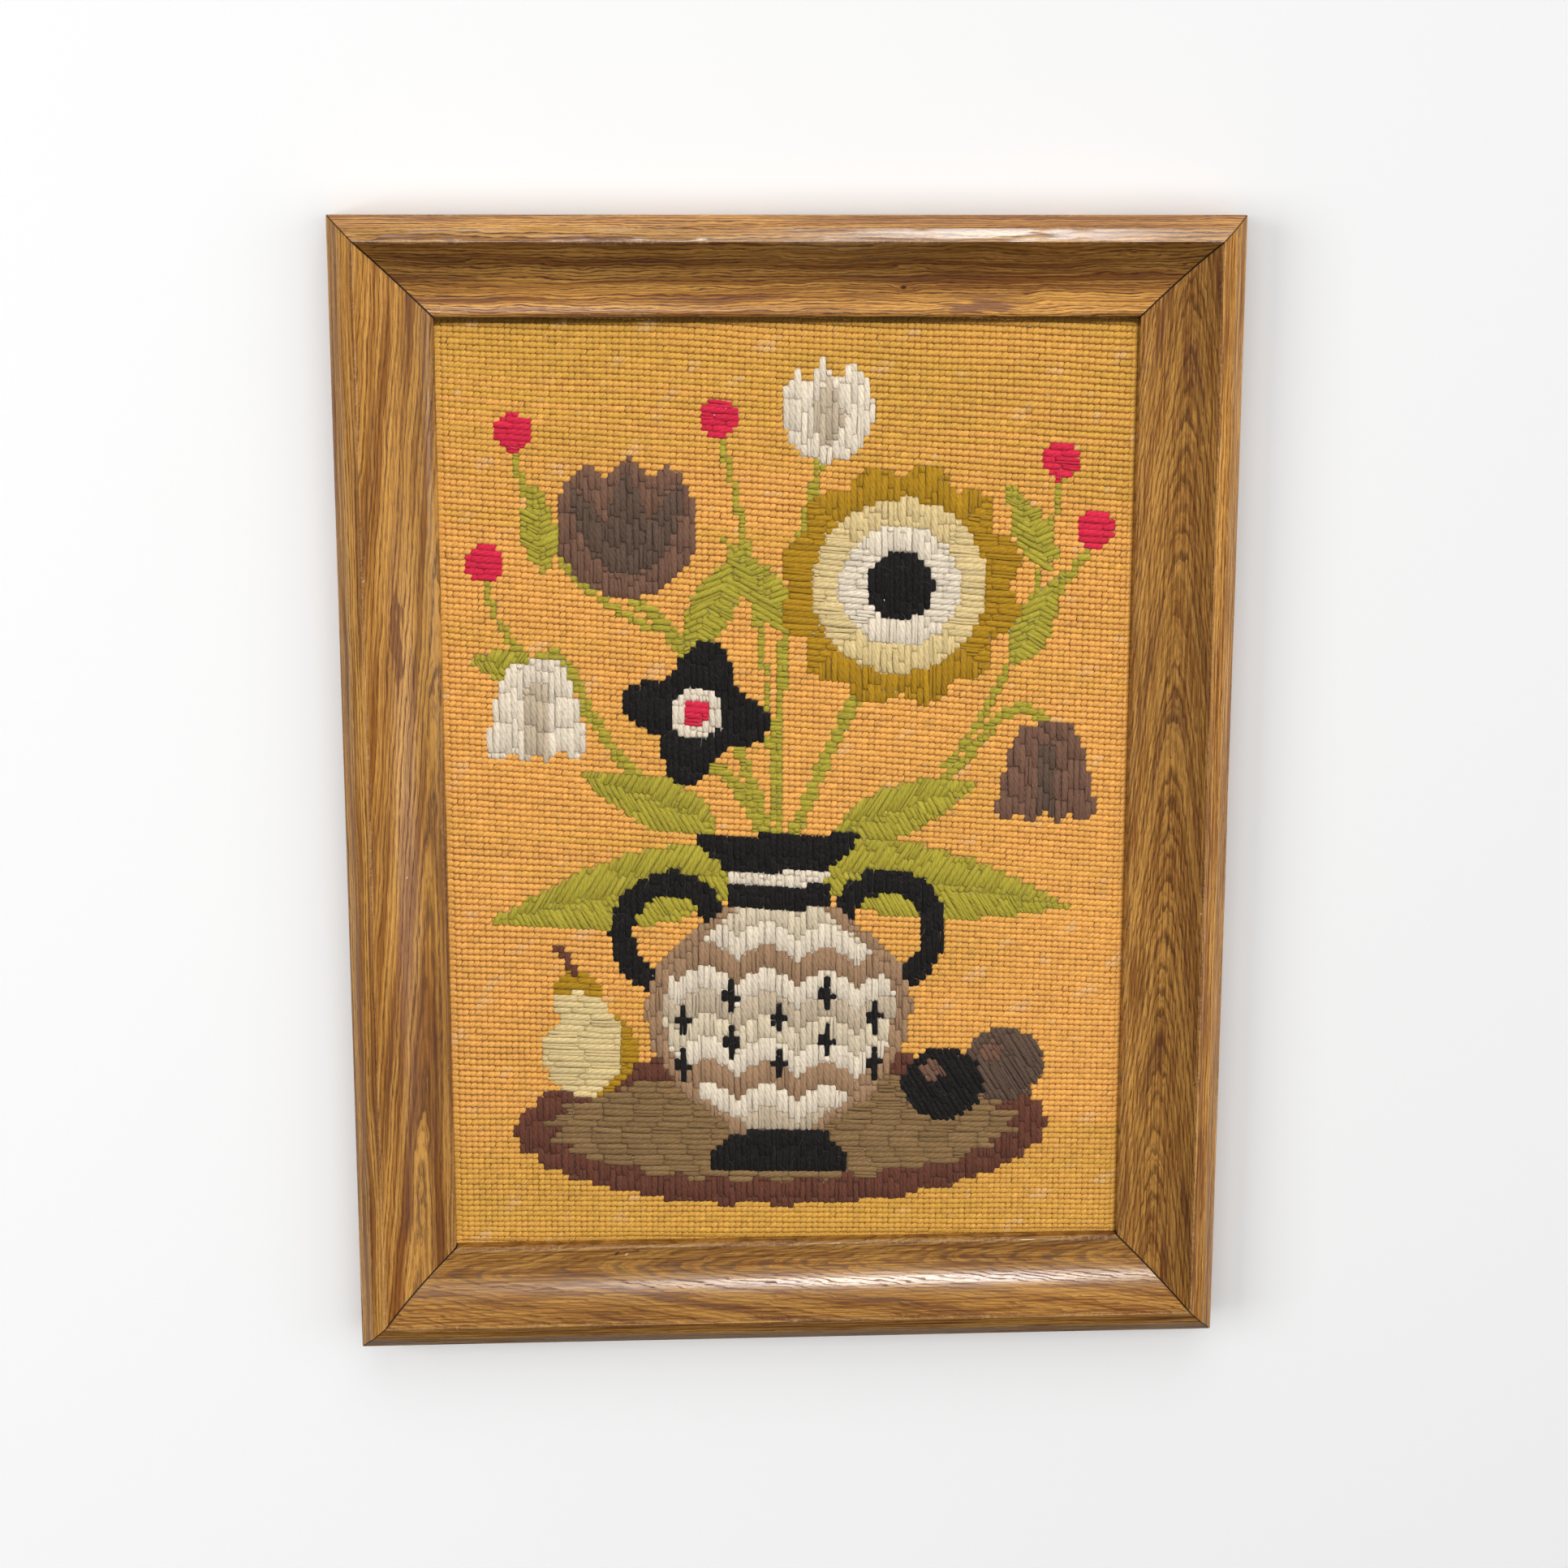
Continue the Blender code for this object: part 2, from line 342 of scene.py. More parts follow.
def crosswise(direction):
    """The level direction at a right angle to each given one, to its left."""
    return np.stack([-direction[:, 1], direction[:, 0], np.zeros(len(direction))], axis=-1)


def smooth_step(value, low, high):
    """0 below low, 1 above high, and 3t² - 2t³ between."""
    t = np.clip((value - low) / (high - low), 0.0, 1.0)
    return t * t * (3 - 2 * t)


def ripple(x, y, seed, wavelength):
    """Smooth unevenness, mostly from -1 to 1: 1.6 times the mean of five seeded plane waves."""
    rng = np.random.default_rng(seed)
    turns, phases = rng.uniform(0, math.tau, (2, 5))
    total = 0.0
    for turn, phase, stretch in zip(turns, phases, rng.uniform(0.7, 1.4, 5)):
        along = x * math.cos(turn) + y * math.sin(turn)
        total = total + np.sin(along * math.tau * stretch / wavelength + phase)
    return total / 5 * 1.6


def pulled_up(x, y):
    """How far the stitching has pulled the canvas out of square at a place, in metres.

    The rows fall to the right by a slope that is 0.085 in the middle of the picture and eases to 0.025 at its
    foot and 0.045 at its head, and near the foot the rows are crowded together by a twelfth.
    """
    slope = 0.025 + 0.060 * smooth_step(y, -0.190, 0.010) - 0.040 * smooth_step(y, 0.120, 0.205)
    crowding = 0.085 * np.clip(-0.150 - y, 0.0, 0.060)
    return -slope * x + crowding


def seat_height(x, y, z, moulding):
    """Presses heights down under the lip, so that wool and canvas pass beneath it.

    The height above 6 mm is scaled by a share that rises smoothly from 0.27 under the lip to 1 in the open.
    """
    half_width = OUTER_WIDTH / 2 - moulding.rail_width
    half_height = OUTER_HEIGHT / 2 - moulding.rail_width
    inside = np.minimum(half_width - np.abs(x), half_height - np.abs(y))
    share = 0.27 + 0.73 * smooth_step(inside, 0.1 * MM, 3.4 * MM)
    floor = 6.0 * MM
    return floor + (z - floor) * share


# The design, in millimetres from the middle of the picture


def turned(x, y, centre, degrees):
    """Coordinates along and across a direction, measured from a centre."""
    angle = math.radians(degrees)
    along = (x - centre[0]) * math.cos(angle) + (y - centre[1]) * math.sin(angle)
    across = (y - centre[1]) * math.cos(angle) - (x - centre[0]) * math.sin(angle)
    return along, across


def oval(x, y, centre, half_width, half_height, degrees=0):
    """Inside where (along / half width)² + (across / half height)² is under 1."""
    along, across = turned(x, y, centre, degrees)
    return (along / half_width) ** 2 + (across / half_height) ** 2 < 1


def blade(x, y, foot, degrees, length_mm, width, fullness=0.75):
    """A leaf or petal, in two halves: its half width is a sine of the share of its length."""
    along, across = turned(x, y, foot, degrees)
    share = np.clip(along / length_mm, 0, 1)
    half = width / 2 * np.sin(math.pi * share ** fullness)
    inside = (along > 0) & (along < length_mm) & (np.abs(across) < half)
    return inside & (across >= 0), inside & (across < 0)


def stem(x, y, start, bend, end, half_width):
    """Inside where the distance to a quadratic curve from start over bend to end is under the half width."""
    t = np.linspace(0, 1, 60)
    on_x = (1 - t) ** 2 * start[0] + 2 * t * (1 - t) * bend[0] + t ** 2 * end[0]
    on_y = (1 - t) ** 2 * start[1] + 2 * t * (1 - t) * bend[1] + t ** 2 * end[1]
    return np.hypot(x[..., None] - on_x, y[..., None] - on_y).min(axis=-1) < half_width


def zigzag(value, period):
    """0 at whole periods and 1 halfway between, in straight lines."""
    return 1 - np.abs((value / period) % 1 - 0.5) * 2


class Design:
    """Which wool fills each place of the canvas, and how it is laid there. Later forms cover earlier ones."""

    def __init__(self, pitch):
        self.pitch = pitch
        across = (np.arange(STITCHES_ACROSS) - STITCHES_ACROSS / 2 + 0.5) * pitch / MM
        up = (np.arange(STITCHES_UP) - STITCHES_UP / 2 + 0.5) * pitch / MM
        self.x, self.y = np.meshgrid(across, up)
        self.y = self.y + pulled_up(self.x * MM, self.y * MM) / MM
        self.column, self.row = np.meshgrid(np.arange(STITCHES_ACROSS), np.arange(STITCHES_UP))
        self.plan = np.zeros(self.x.shape, dtype=int)
        self.forms = [Form("marigold", "ground", 1, "even")]

    def cell_at(self, x, y):
        """Column and row of the stitch at a place given in metres."""
        level = y - pulled_up(x, y)
        column = np.floor(x / self.pitch + STITCHES_ACROSS / 2)
        row = np.floor(level / self.pitch + STITCHES_UP / 2)
        column = np.clip(column, 0, STITCHES_ACROSS - 1).astype(int)
        return column, np.clip(row, 0, STITCHES_UP - 1).astype(int)

    def fill(self, inside, wool, lay, reach=4, ends="ragged"):
        self.forms.append(Form(wool, lay, reach, ends))
        self.plan[inside] = len(self.forms) - 1

    def leaf(self, foot, degrees, length_mm, width):
        """A leaf in two halves whose stitches meet at the midrib."""
        upper, lower = blade(self.x, self.y, foot, degrees, length_mm, width)
        steep = abs(math.sin(math.radians(degrees))) > 0.75
        rising = math.cos(math.radians(degrees)) > 0
        lays = ("level_rising", "level_falling") if steep else ("leaning_right", "leaning_left")
        self.fill(upper, "lime", lays[0 if rising else 1], 6)
        self.fill(lower, "lime", lays[1 if rising else 0], 6)

    def ring(self, centre, outline, wool, reach=7):
        """A ring whose stitches lie level at its sides and upright above and below."""
        along, across = self.x - centre[0], self.y - centre[1]
        inside = np.hypot(along, across) < outline
        sides = np.abs(along) > np.abs(across)
        self.fill(inside & sides, wool, "level", reach)
        self.fill(inside & ~sides, wool, "upright", reach)


def draw_mat(design):
    """A round mat in perspective, with a scalloped rim and stacked level stitches."""
    x, y = design.x, design.y
    along, across = turned(x, y, (-2, -146), 0)
    around = np.arctan2(across / 36, along / 116)
    rim = 1 - 0.035 * np.abs(np.sin(14 * around))
    design.fill(np.hypot(along / 116, across / 36) < rim, "rust", "upright", 5)
    field = 1 - 0.09 * (1 - zigzag(around, math.pi / 13))
    design.fill(np.hypot(along / 103, (across - 1) / 26) < field, "olive_brown", "level", 5, "wavy")


def draw_stems_and_leaves(design):
    """Stems that spring from the mouth of the vase, and the leaves on them."""
    x, y = design.x, design.y
    stems = (
        ((-2, -30), (16, 20), (44, 70), 2.6),
        ((-6, -30), (-24, 50), (-66, 84), 2.6),
        ((-7, -30), (-14, 0), (-34, 14), 2.6),
        ((-10, -30), (-66, -2), (-84, 38), 2.2),
        ((-84, 38), (-92, 66), (-104, 56), 2.2),
        ((-3, -30), (-10, 60), (14, 140), 2.2),
        ((4, -30), (60, -8), (84, 26), 2.2),
        ((84, 26), (98, 44), (108, 26), 2.2),
        ((-5, -30), (-8, 80), (-28, 148), 1.6),
        ((66, 10), (100, 50), (112, 132), 1.6),
        ((98, 62), (112, 84), (126, 104), 1.6),
        ((-78, 30), (-122, 60), (-124, 92), 1.6),
        ((-44, 66), (-100, 80), (-112, 146), 1.6),
    )
    for start, bend, end, half_width in stems:
        design.fill(stem(x, y, start, bend, end, half_width), "lime", "level", 3)
    leaves = (
        ((-10, -30), 192, 120, 32),
        ((2, -30), -10, 120, 32),
        ((-30, -14), 158, 62, 22),
        ((20, -18), 20, 66, 22),
        ((-42, 60), 60, 54, 18),
        ((4, 66), 128, 50, 16),
        ((92, 52), 62, 46, 16),
        ((-98, 50), 168, 36, 15),
        ((109, 92), 118, 42, 15),
        ((-100, 92), 96, 40, 14),
    )
    for foot, degrees, length_mm, width in leaves:
        design.leaf(foot, degrees, length_mm, width)


def draw_vase(design):
    """A round vase with two handles, banded in stepped upright stitches."""
    x, y = design.x, design.y
    axis = -4
    heights = (-166, -158, -152, -146, -132, -112, -92, -72, -58, -48, -38, -30, -24, -18)
    radii = (30, 30, 22, 20, 40, 53, 57, 50, 34, 22, 20, 24, 32, 34)
    half = np.interp(y, heights, radii)
    body = (np.abs(x - axis) < half) & (y > heights[0]) & (y < heights[-1])
    for side in (-1, 1):
        handle = np.hypot(((x - axis) * side - 46) / 25, (y + 60) / 27)
        design.fill((handle < 1) & (handle > 0.60) & ~body, "black", "upright", 5)
    belly = body & (y > -148) & (y < -50)
    step = 3.0 * (1 - zigzag(design.column + 2, 10))
    band = np.floor((design.row + step + 200) / 4).astype(int)
    for number, wool in enumerate(("off_white", "cream", "beige", "off_white", "tan")):
        design.fill(belly & (band % 5 == number), wool, "upright", 4, "stepped")
    design.fill(belly & (np.abs(x - axis) > half - 7), "tan", "upright", 4)
    for across in range(-2, 3):
        for up in range(2):
            centre_x = axis + across * 20.3
            centre_y = -118 + up * 20 + (10 if across % 2 else 0)
            lozenge = np.abs(x - centre_x) / 3.4 + np.abs(y - centre_y) / 7.5 < 1
            design.fill(lozenge & belly, "black", "upright", 6)
    design.fill(body & (y <= -148), "black", "upright", 5)
    design.fill(body & (y >= -50), "black", "upright", 5)
    design.fill(body & (y >= -40) & (y < -34), "off_white", "upright", 3)


def draw_fruit(design):
    """A pear and two plums on the mat."""
    x, y = design.x, design.y
    pear = oval(x, y, (-84, -112), 20, 19) | oval(x, y, (-88, -91), 10.5, 16, 14)
    design.fill(pear, "straw", "level", 6)
    design.fill(pear & ~oval(x, y, (-90, -109), 20, 24), "olive_gold", "level", 6)
    design.fill(stem(x, y, (-90, -78), (-92, -70), (-98, -66), 1.7), "rust", "upright", 3)
    for centre, wool in (((92, -120), "dark_taupe"), ((66, -128), "black")):
        design.fill(oval(x, y, centre, 17, 16), wool, "leaning_left", 6)
        design.fill(oval(x, y, (centre[0] - 5, centre[1] + 6), 4.5, 4.5), "taupe", "leaning_left", 4)


def draw_blooms(design):
    """A ring bloom, two tulips, a four-lobed bloom, two bells and the berries."""
    x, y = design.x, design.y
    centre = (46, 86)
    around = np.arctan2(y - centre[1], x - centre[0])
    design.ring(centre, 44 + 7 * np.abs(np.sin(6 * around)), "olive_gold")
    design.ring(centre, 36, "straw")
    design.ring(centre, 25, "off_white")
    design.fill(oval(x, y, centre, 14, 14), "black", "upright", 12)

    cup = oval(x, y, (-66, 112), 29, 30) & (y < 130 + 10 * (1 - zigzag(x + 356, 19.4)))
    design.fill(cup, "taupe", "upright", 5)
    petals = (((-66, 90), 90, 46, 16), ((-70, 92), 118, 42, 12), ((-62, 92), 62, 42, 12))
    for foot, degrees, length_mm, width in petals:
        upper, lower = blade(x, y, foot, degrees, length_mm, width, 0.8)
        design.fill(upper | lower, "dark_taupe", "upright", 5)

    centre = (-38, 34)
    around = np.arctan2(y - centre[1], x - centre[0])
    design.fill(np.hypot(x + 38, y - 34) < 25 + 6 * np.cos(4 * around + 0.8), "black", "upright", 6)
    design.fill(oval(x, y, centre, 11, 11), "off_white", "upright", 3)
    design.fill(oval(x, y, centre, 5.5, 5.5), "raspberry", "level", 5)

    for centre, outer, inner in (((-104, 34), "off_white", "beige"), ((108, 6), "taupe", "dark_taupe")):
        across, up = x - centre[0], y - centre[1]
        flare = 8 + 14 * np.sqrt(np.clip((22 - up) / 42, 0, 1))
        hem = -20 + 4 * (1 - zigzag(across + 200, 10.5))
        bell = (up < 22) & (up > hem) & (np.abs(across) < flare)
        design.fill(bell, outer, "upright", 5)
        design.fill(bell & (np.abs(across) < 5) & (up < 12), inner, "upright", 5)

    cup = oval(x, y, (16, 158), 19, 21) & (y < 168 + 12 * (1 - zigzag(x + 364, 12.6)))
    design.fill(cup, "off_white", "upright", 5)
    upper, lower = blade(x, y, (16, 142), 90, 30, 12, 0.8)
    design.fill(upper | lower, "beige", "upright", 5)

    pitch_mm = 2.54
    for centre in ((-28, 154), (113, 138), (126, 110), (-124, 96), (-112, 150)):
        hole = [round(value / pitch_mm) * pitch_mm for value in centre]
        design.fill(oval(x, y, hole, 7.7, 7.7), "raspberry", "level", 8)


def draw_design(pitch):
    """The whole picture: a vase of flowers and fruit on a round mat, over a plain ground."""
    design = Design(pitch)
    draw_mat(design)
    draw_stems_and_leaves(design)
    draw_vase(design)
    draw_fruit(design)
    draw_blooms(design)
    return design


# Stitches


def long_stitches(design, lay):
    """Both ends of every long stitch of one lay, in threads from the canvas's lower left, and its form.

    The plan is read along lines that lean by the lay's slope. A stitch is a run of one form along a line, cut
    where a band of the form's reach ends, and the bands of neighbouring lines are shifted as the form says.
    """
    across_picture, slope = LAYS[lay]
    plan = design.plan.T if across_picture else design.plan
    steps_count, lines_count = plan.shape
    margin = int(abs(slope) * steps_count / 2) + 2
    line = np.arange(-margin, lines_count + margin)[None, :]
    step = np.arange(steps_count)[:, None]
    place = np.rint(line + slope * (step + 0.5 - steps_count / 2)).astype(int)
    on_plan = (place >= 0) & (place < lines_count)
    form = np.where(on_plan, plan[step, np.clip(place, 0, lines_count - 1)], 0)
    form = np.where(np.array([f.lay == lay for f in design.forms])[form], form, 0)
    reach = np.array([f.reach for f in design.forms], dtype=float)[form]
    scatter = np.random.default_rng(11).random(line.shape[1])[None, :]
    shifts = {
        "ragged": 0.55 * scatter * reach + 0.5 * (line % 2),
        "stepped": 3.0 * (1 - zigzag(line + 2, 10)) + 200,
        "wavy": 1.3 * np.sin(line * 0.55) + 0.5 * scatter,
        "even": 0.0 * line,
    }
    shift = np.zeros(form.shape)
    for kind, amount in shifts.items():
        shift = np.where(np.array([f.ends == kind for f in design.forms])[form], amount, shift)
    key = form * 1000 + np.floor((step + shift) / reach).astype(int)
    breaks = np.ones((steps_count + 1, line.shape[1]), dtype=bool)
    breaks[1:-1] = key[1:] != key[:-1]
    line_at, step_at = np.nonzero(breaks.T)
    paired = line_at[1:] == line_at[:-1]
    begin, finish, which = step_at[:-1][paired], step_at[1:][paired], line_at[:-1][paired]
    chosen = form[begin, which]
    keep = chosen > 0
    line_place = line[0, which[keep]] + 0.5
    ends = []
    for stop in (begin[keep], finish[keep]):
        spot = np.stack([line_place + slope * (stop - steps_count / 2), stop], axis=-1)
        ends.append((spot[:, ::-1] if across_picture else spot).astype(float))
    return ends[0], ends[1], chosen[keep]


def gather_strands(work):
    """Both ends of each strand in metres, its form, and its half width.

    Most threads are covered by one thick strand, and the rest by two thinner ones side by side.
    """
    rng, pitch = work.rng, work.stitches.thread_pitch
    starts, ends, forms, widths = [], [], [], []
    for lay, (across_picture, slope) in LAYS.items():
        first, second, chosen = long_stitches(work.design, lay)
        sideways = np.array([0.0, 1.0]) if across_picture else np.array([1.0, 0.0])
        single = rng.random(len(chosen)) < 0.88
        split = rng.uniform(0.40, 0.60, len(chosen))
        lean = 1 / math.hypot(1, slope)
        for picked, share, offset in (
            (single, np.ones(len(chosen)), np.zeros(len(chosen))),
            (~single, split, (split - 1) / 2),
            (~single, 1 - split, split / 2),
        ):
            shift = sideways[None, :] * offset[picked][:, None]
            starts.append(first[picked] + shift)
            ends.append(second[picked] + shift)
            forms.append(chosen[picked])
            widths.append(share[picked] * pitch * lean * 0.625)
    middle = np.array([STITCHES_ACROSS / 2, STITCHES_UP / 2])
    places = []
    for group in (starts, ends):
        place = (np.concatenate(group) - middle) * pitch
        place += rng.normal(0, 0.20 * MM, place.shape)
        place[:, 1] += pulled_up(place[:, 0], place[:, 1])
        places.append(place)
    return places[0], places[1], np.concatenate(forms), np.concatenate(widths)


def work_strands(work, name, start, end, half_width, tint, rings, finish):
    """One piece of long stitches. Each strand is a rounded tube that rises out of its hole, runs level and
    dips again. Near each end it narrows and sinks by 1 - sqrt(1 - (1 - d)²), with d the distance from that
    end over the dip's length."""
    rng, stitches = work.rng, work.stitches
    count = len(start)
    span = end - start
    reach = np.linalg.norm(span, axis=1)
    direction = span / reach[:, None]
    side = crosswise(direction)
    near = np.array([0.12, 0.75]) * MM / reach[:, None]
    between = np.tile(np.linspace(0.0, 1.0, rings - 3)[1:-1], (count, 1))
    t = np.concatenate([near, between, 1 - near[:, ::-1]], axis=1)
    from_end = np.minimum(t, 1 - t) * reach[:, None] / DIP_LENGTH
    arch = np.sqrt(1 - (1 - np.clip(from_end, 0, 1)) ** 2)
    bow = rng.normal(0, 0.16 * MM, count)[:, None] * np.sin(math.pi * t)
    bow = bow * smooth_step(reach, 3 * MM, 9 * MM)[:, None]
    plump = rng.normal(1.0, 0.09, count)[:, None]
    place = start[:, None, :] + span[:, None, :] * t[..., None] + side[:, None, :2] * bow[..., None]
    crest = stitches.wool_top + rng.normal(0, 0.11 * MM, count)[:, None]
    loft = 0.20 * MM * smooth_step(reach, 4 * MM, 14 * MM)[:, None] * np.sin(math.pi * t)
    thick = np.clip(half_width * 0.66, 0.55 * MM, stitches.strand_half_height)[:, None]
    half_height = thick * (0.50 + 0.50 * arch) * plump
    width = half_width[:, None] * (0.46 + 0.54 * arch) * plump
    centre = raised(place, crest + loft - half_height - DIP_DEPTH * (1 - arch))
    over = direction * TIP_REACH
    tips = raised(np.stack([start - over, end + over], axis=1), stitches.canvas_top + 0.10 * MM)
    run = reach[:, None] / MM * t + rng.uniform(0, 40, count)[:, None]
    make_tubes(name, centre, side, (width, half_height), tips, STRAND_RING, run, tint, finish, work.moulding)


def row_wander(x, y):
    """How far a row of ground stitches strays from its line, in metres, most near the top of the picture."""
    near_top = smooth_step(y, 0.10, 0.19)
    slow = ripple(x, y * 0.6, 21, 0.14)
    return 0.24 * MM * ripple(x, y * 3, 22, 0.06) + (0.20 + 0.60 * near_top) * MM * slow


def work_ground(work, name, column, row, finish):
    """One piece of ground stitches. Each is a short fat length of wool that crosses one canvas crossing from
    lower left to upper right. Its rings lie along the row, so that neighbours touch from end to end and a row
    reads as a cord. Rows worked one way pull flatter and longer than rows worked the other way, but not near
    the head. The olive lot is used up at the head and the foot, and painted shade under the lip darkens the
    top rows."""
    rng, stitches = work.rng, work.stitches
    pitch = stitches.thread_pitch
    x = (column - STITCHES_ACROSS / 2 + 0.5) * pitch
    y = (row - STITCHES_UP / 2 + 0.5) * pitch
    lift = pulled_up(x, y) + row_wander(x, y)
    half_extent = stitches.canvas_height / 2 - 2.6 * MM
    kept = np.abs(y + lift) < half_extent
    x, y, row, lift = x[kept], y[kept], row[kept], lift[kept]
    count = len(x)
    pull = np.random.default_rng(31).normal(0, 1, STITCHES_UP)[row]
    slow = 0.5 + 0.5 * ripple(x, y, 33, 0.13)
    calm = 1 - 0.85 * smooth_step(y, 0.10, 0.17)
    tight = np.clip(((row % 2) * 0.7 + 0.25 * pull) * (0.25 + 1.0 * slow), -0.3, 1.2) * calm
    angle = np.radians(72 - 12 * tight + rng.normal(0, 4.5, count))
    direction = np.stack([np.cos(angle), np.sin(angle)], axis=-1)
    askew = -0.32 * (math.pi / 2 - angle)
    side = np.stack([np.cos(askew), np.sin(askew), np.zeros(count)], axis=-1)
    rise = 1.33 * MM * (1 - 0.03 * tight + rng.normal(0, 0.035, count))
    half_length = (rise / np.sin(angle))[:, None]
    half_width = stitches.ground_half_width * (1.04 - 0.04 * calm + 0.06 * tight + rng.normal(0, 0.05, count))
    middle = np.stack([x + rng.normal(0, 0.08 * MM, count), y + lift], axis=-1)
    middle[:, 1] += rng.normal(0, 0.06 * MM, count)
    t = np.array([-0.86, -0.40, 0.40, 0.86])
    swell = np.array([0.80, 1.0, 1.0, 0.80])
    place = middle[:, None, :] + direction[:, None, :] * (half_length * t)[..., None]
    crest = (stitches.wool_top - 0.06 * MM * tight + rng.normal(0, 0.06 * MM, count))[:, None]
    centre = raised(place, crest - GROUND_HALF_HEIGHT - GROUND_DROPS)
    widths = (half_width[:, None] * swell, GROUND_HALF_HEIGHT * np.broadcast_to(swell, (count, 4)))
    half = direction * half_length
    tips = raised(np.stack([middle - half, middle + half], axis=1), crest - TIP_DROP)
    run = half_length / MM * t + rng.uniform(0, 40, count)[:, None]
    marigold, olive, pale = (np.array(dye) for dye in (
        work.wools.marigold, work.wools.marigold_olive, work.wools.rubbed))
    lot = smooth_step(y, 0.09, 0.17) * 0.80 + smooth_step(-y, 0.10, 0.17) * 0.85
    lot = np.clip(lot + 0.35 * ripple(x * 0.3, y, 34, 0.05) + 0.25 * pull, 0, 1)[:, None]
    tint = marigold * (1 - lot) + olive * lot
    tint = tint * (1 + 0.03 * pull + rng.normal(0, 0.045, count))[:, None]
    # Painted shade: the rows under the top lip are darkened by up to six tenths.
    tint = tint * (1 - 0.60 * smooth_step(y + lift, half_extent - 8.0 * MM, half_extent - 3.8 * MM))[:, None]
    rubbing = ripple(x * 0.5, y, 35, 0.011) + rng.normal(0, 0.15, count)
    rubbed = smooth_step(rubbing, 0.75, 1.25)[:, None] * 0.45
    tint = tint * (1 - rubbed) + pale * rubbed
    make_tubes(name, centre, side, widths, tips, GROUND_RING, run, tint, finish, work.moulding)


def lay_canvas(work, finish):
    """The canvas: a thin closed sheet with a point at each thread crossing, in the shade of the wool above.

    Under the long stitches it lies a little higher, because their wool packs it out.
    """
    stitches, design = work.stitches, work.design
    across = int(round(stitches.canvas_width / stitches.thread_pitch)) + 1
    up = int(round(stitches.canvas_height / stitches.thread_pitch)) + 1
    x, y = np.meshgrid(
        np.linspace(-stitches.canvas_width / 2, stitches.canvas_width / 2, across),
        np.linspace(-stitches.canvas_height / 2, stitches.canvas_height / 2, up),
    )
    column, row = design.cell_at(x, y)
    form = design.plan[row, column]
    packed = np.where(form > 0, 0.45 * MM, 0.0)
    bare = stitches.canvas_top + packed + 0.06 * MM * ripple(x, y, 41, 0.06)
    top = np.stack([x, y, seat_height(x, y, bare, work.moulding)], axis=-1).reshape(-1, 3)
    index = np.arange(across * up).reshape(up, across)
    rim = np.concatenate([index[0, :-1], index[:-1, -1], index[-1, :0:-1], index[:0:-1, 0]])
    under = top[rim].copy()
    under[:, 2] = stitches.canvas_back
    under_index = len(top) + np.arange(len(rim))
    faces = np.stack([index[:-1, :-1], index[:-1, 1:], index[1:, 1:], index[1:, :-1]], axis=-1).reshape(-1, 4)
    wall = np.stack([rim, under_index, np.roll(under_index, -1), np.roll(rim, -1)], axis=-1)
    back = under_index[::-1][None, :]
    # Painted shade: the canvas's top takes the colour of the wool above it, darkened by 0.88.
    shaded = work.dyes()[form].reshape(-1, 3) * 0.88
    tint = np.concatenate([shaded, np.tile(np.array(work.wools.canvas), (len(rim), 1))])
    return make_piece("canvas", np.concatenate([top, under]), [faces, wall, back], finish, None, tint)


def bare_threads(work, finish):
    """Short glimpses of bare canvas thread where the long stitches end and the wool doesn't quite cover."""
    rng, design = work.rng, work.design
    start, end, form, _ = gather_strands(work)
    places = np.concatenate([start, end])
    dark = np.tile(work.dyes()[form].mean(axis=1) < 0.14, 2)
    places = places[rng.random(len(places)) < np.where(dark, 0.012, 0.07)]
    grounded = (design.plan == 0) & (np.abs(design.y) < 194) & (rng.random(design.plan.shape) < 0.012)
    among = np.stack([design.x[grounded], design.y[grounded] + design.pitch / MM / 2], axis=-1) * MM
    places = np.concatenate([places, among])
    places = places + rng.normal(0, 0.12 * MM, places.shape)
    count = len(places)
    level = rng.random(count) < 0.5
    direction = np.where(level[:, None], [1.0, 0.0], [0.0, 1.0]) + rng.normal(0, 0.08, (count, 2))
    direction /= np.linalg.norm(direction, axis=1)[:, None]
    half = direction * (rng.uniform(0.35, 0.75, count) * MM)[:, None]
    place = places[:, None, :] + half[:, None, :] * np.array([-0.6, 0.6])[:, None]
    height = (work.stitches.wool_top - rng.uniform(0.30, 0.65, count) * MM)[:, None]
    width = np.full((count, 2), 0.17 * MM)
    tips = raised(np.stack([places - half, places + half], axis=1), height - 0.25 * MM)
    tint = np.array(work.wools.canvas) * rng.uniform(0.5, 1.3, count)[:, None]
    make_tubes("bare_threads", raised(place, height), crosswise(direction), (width, width), tips, SPECK_RING,
               np.zeros((count, 2)), tint, finish, work.moulding)


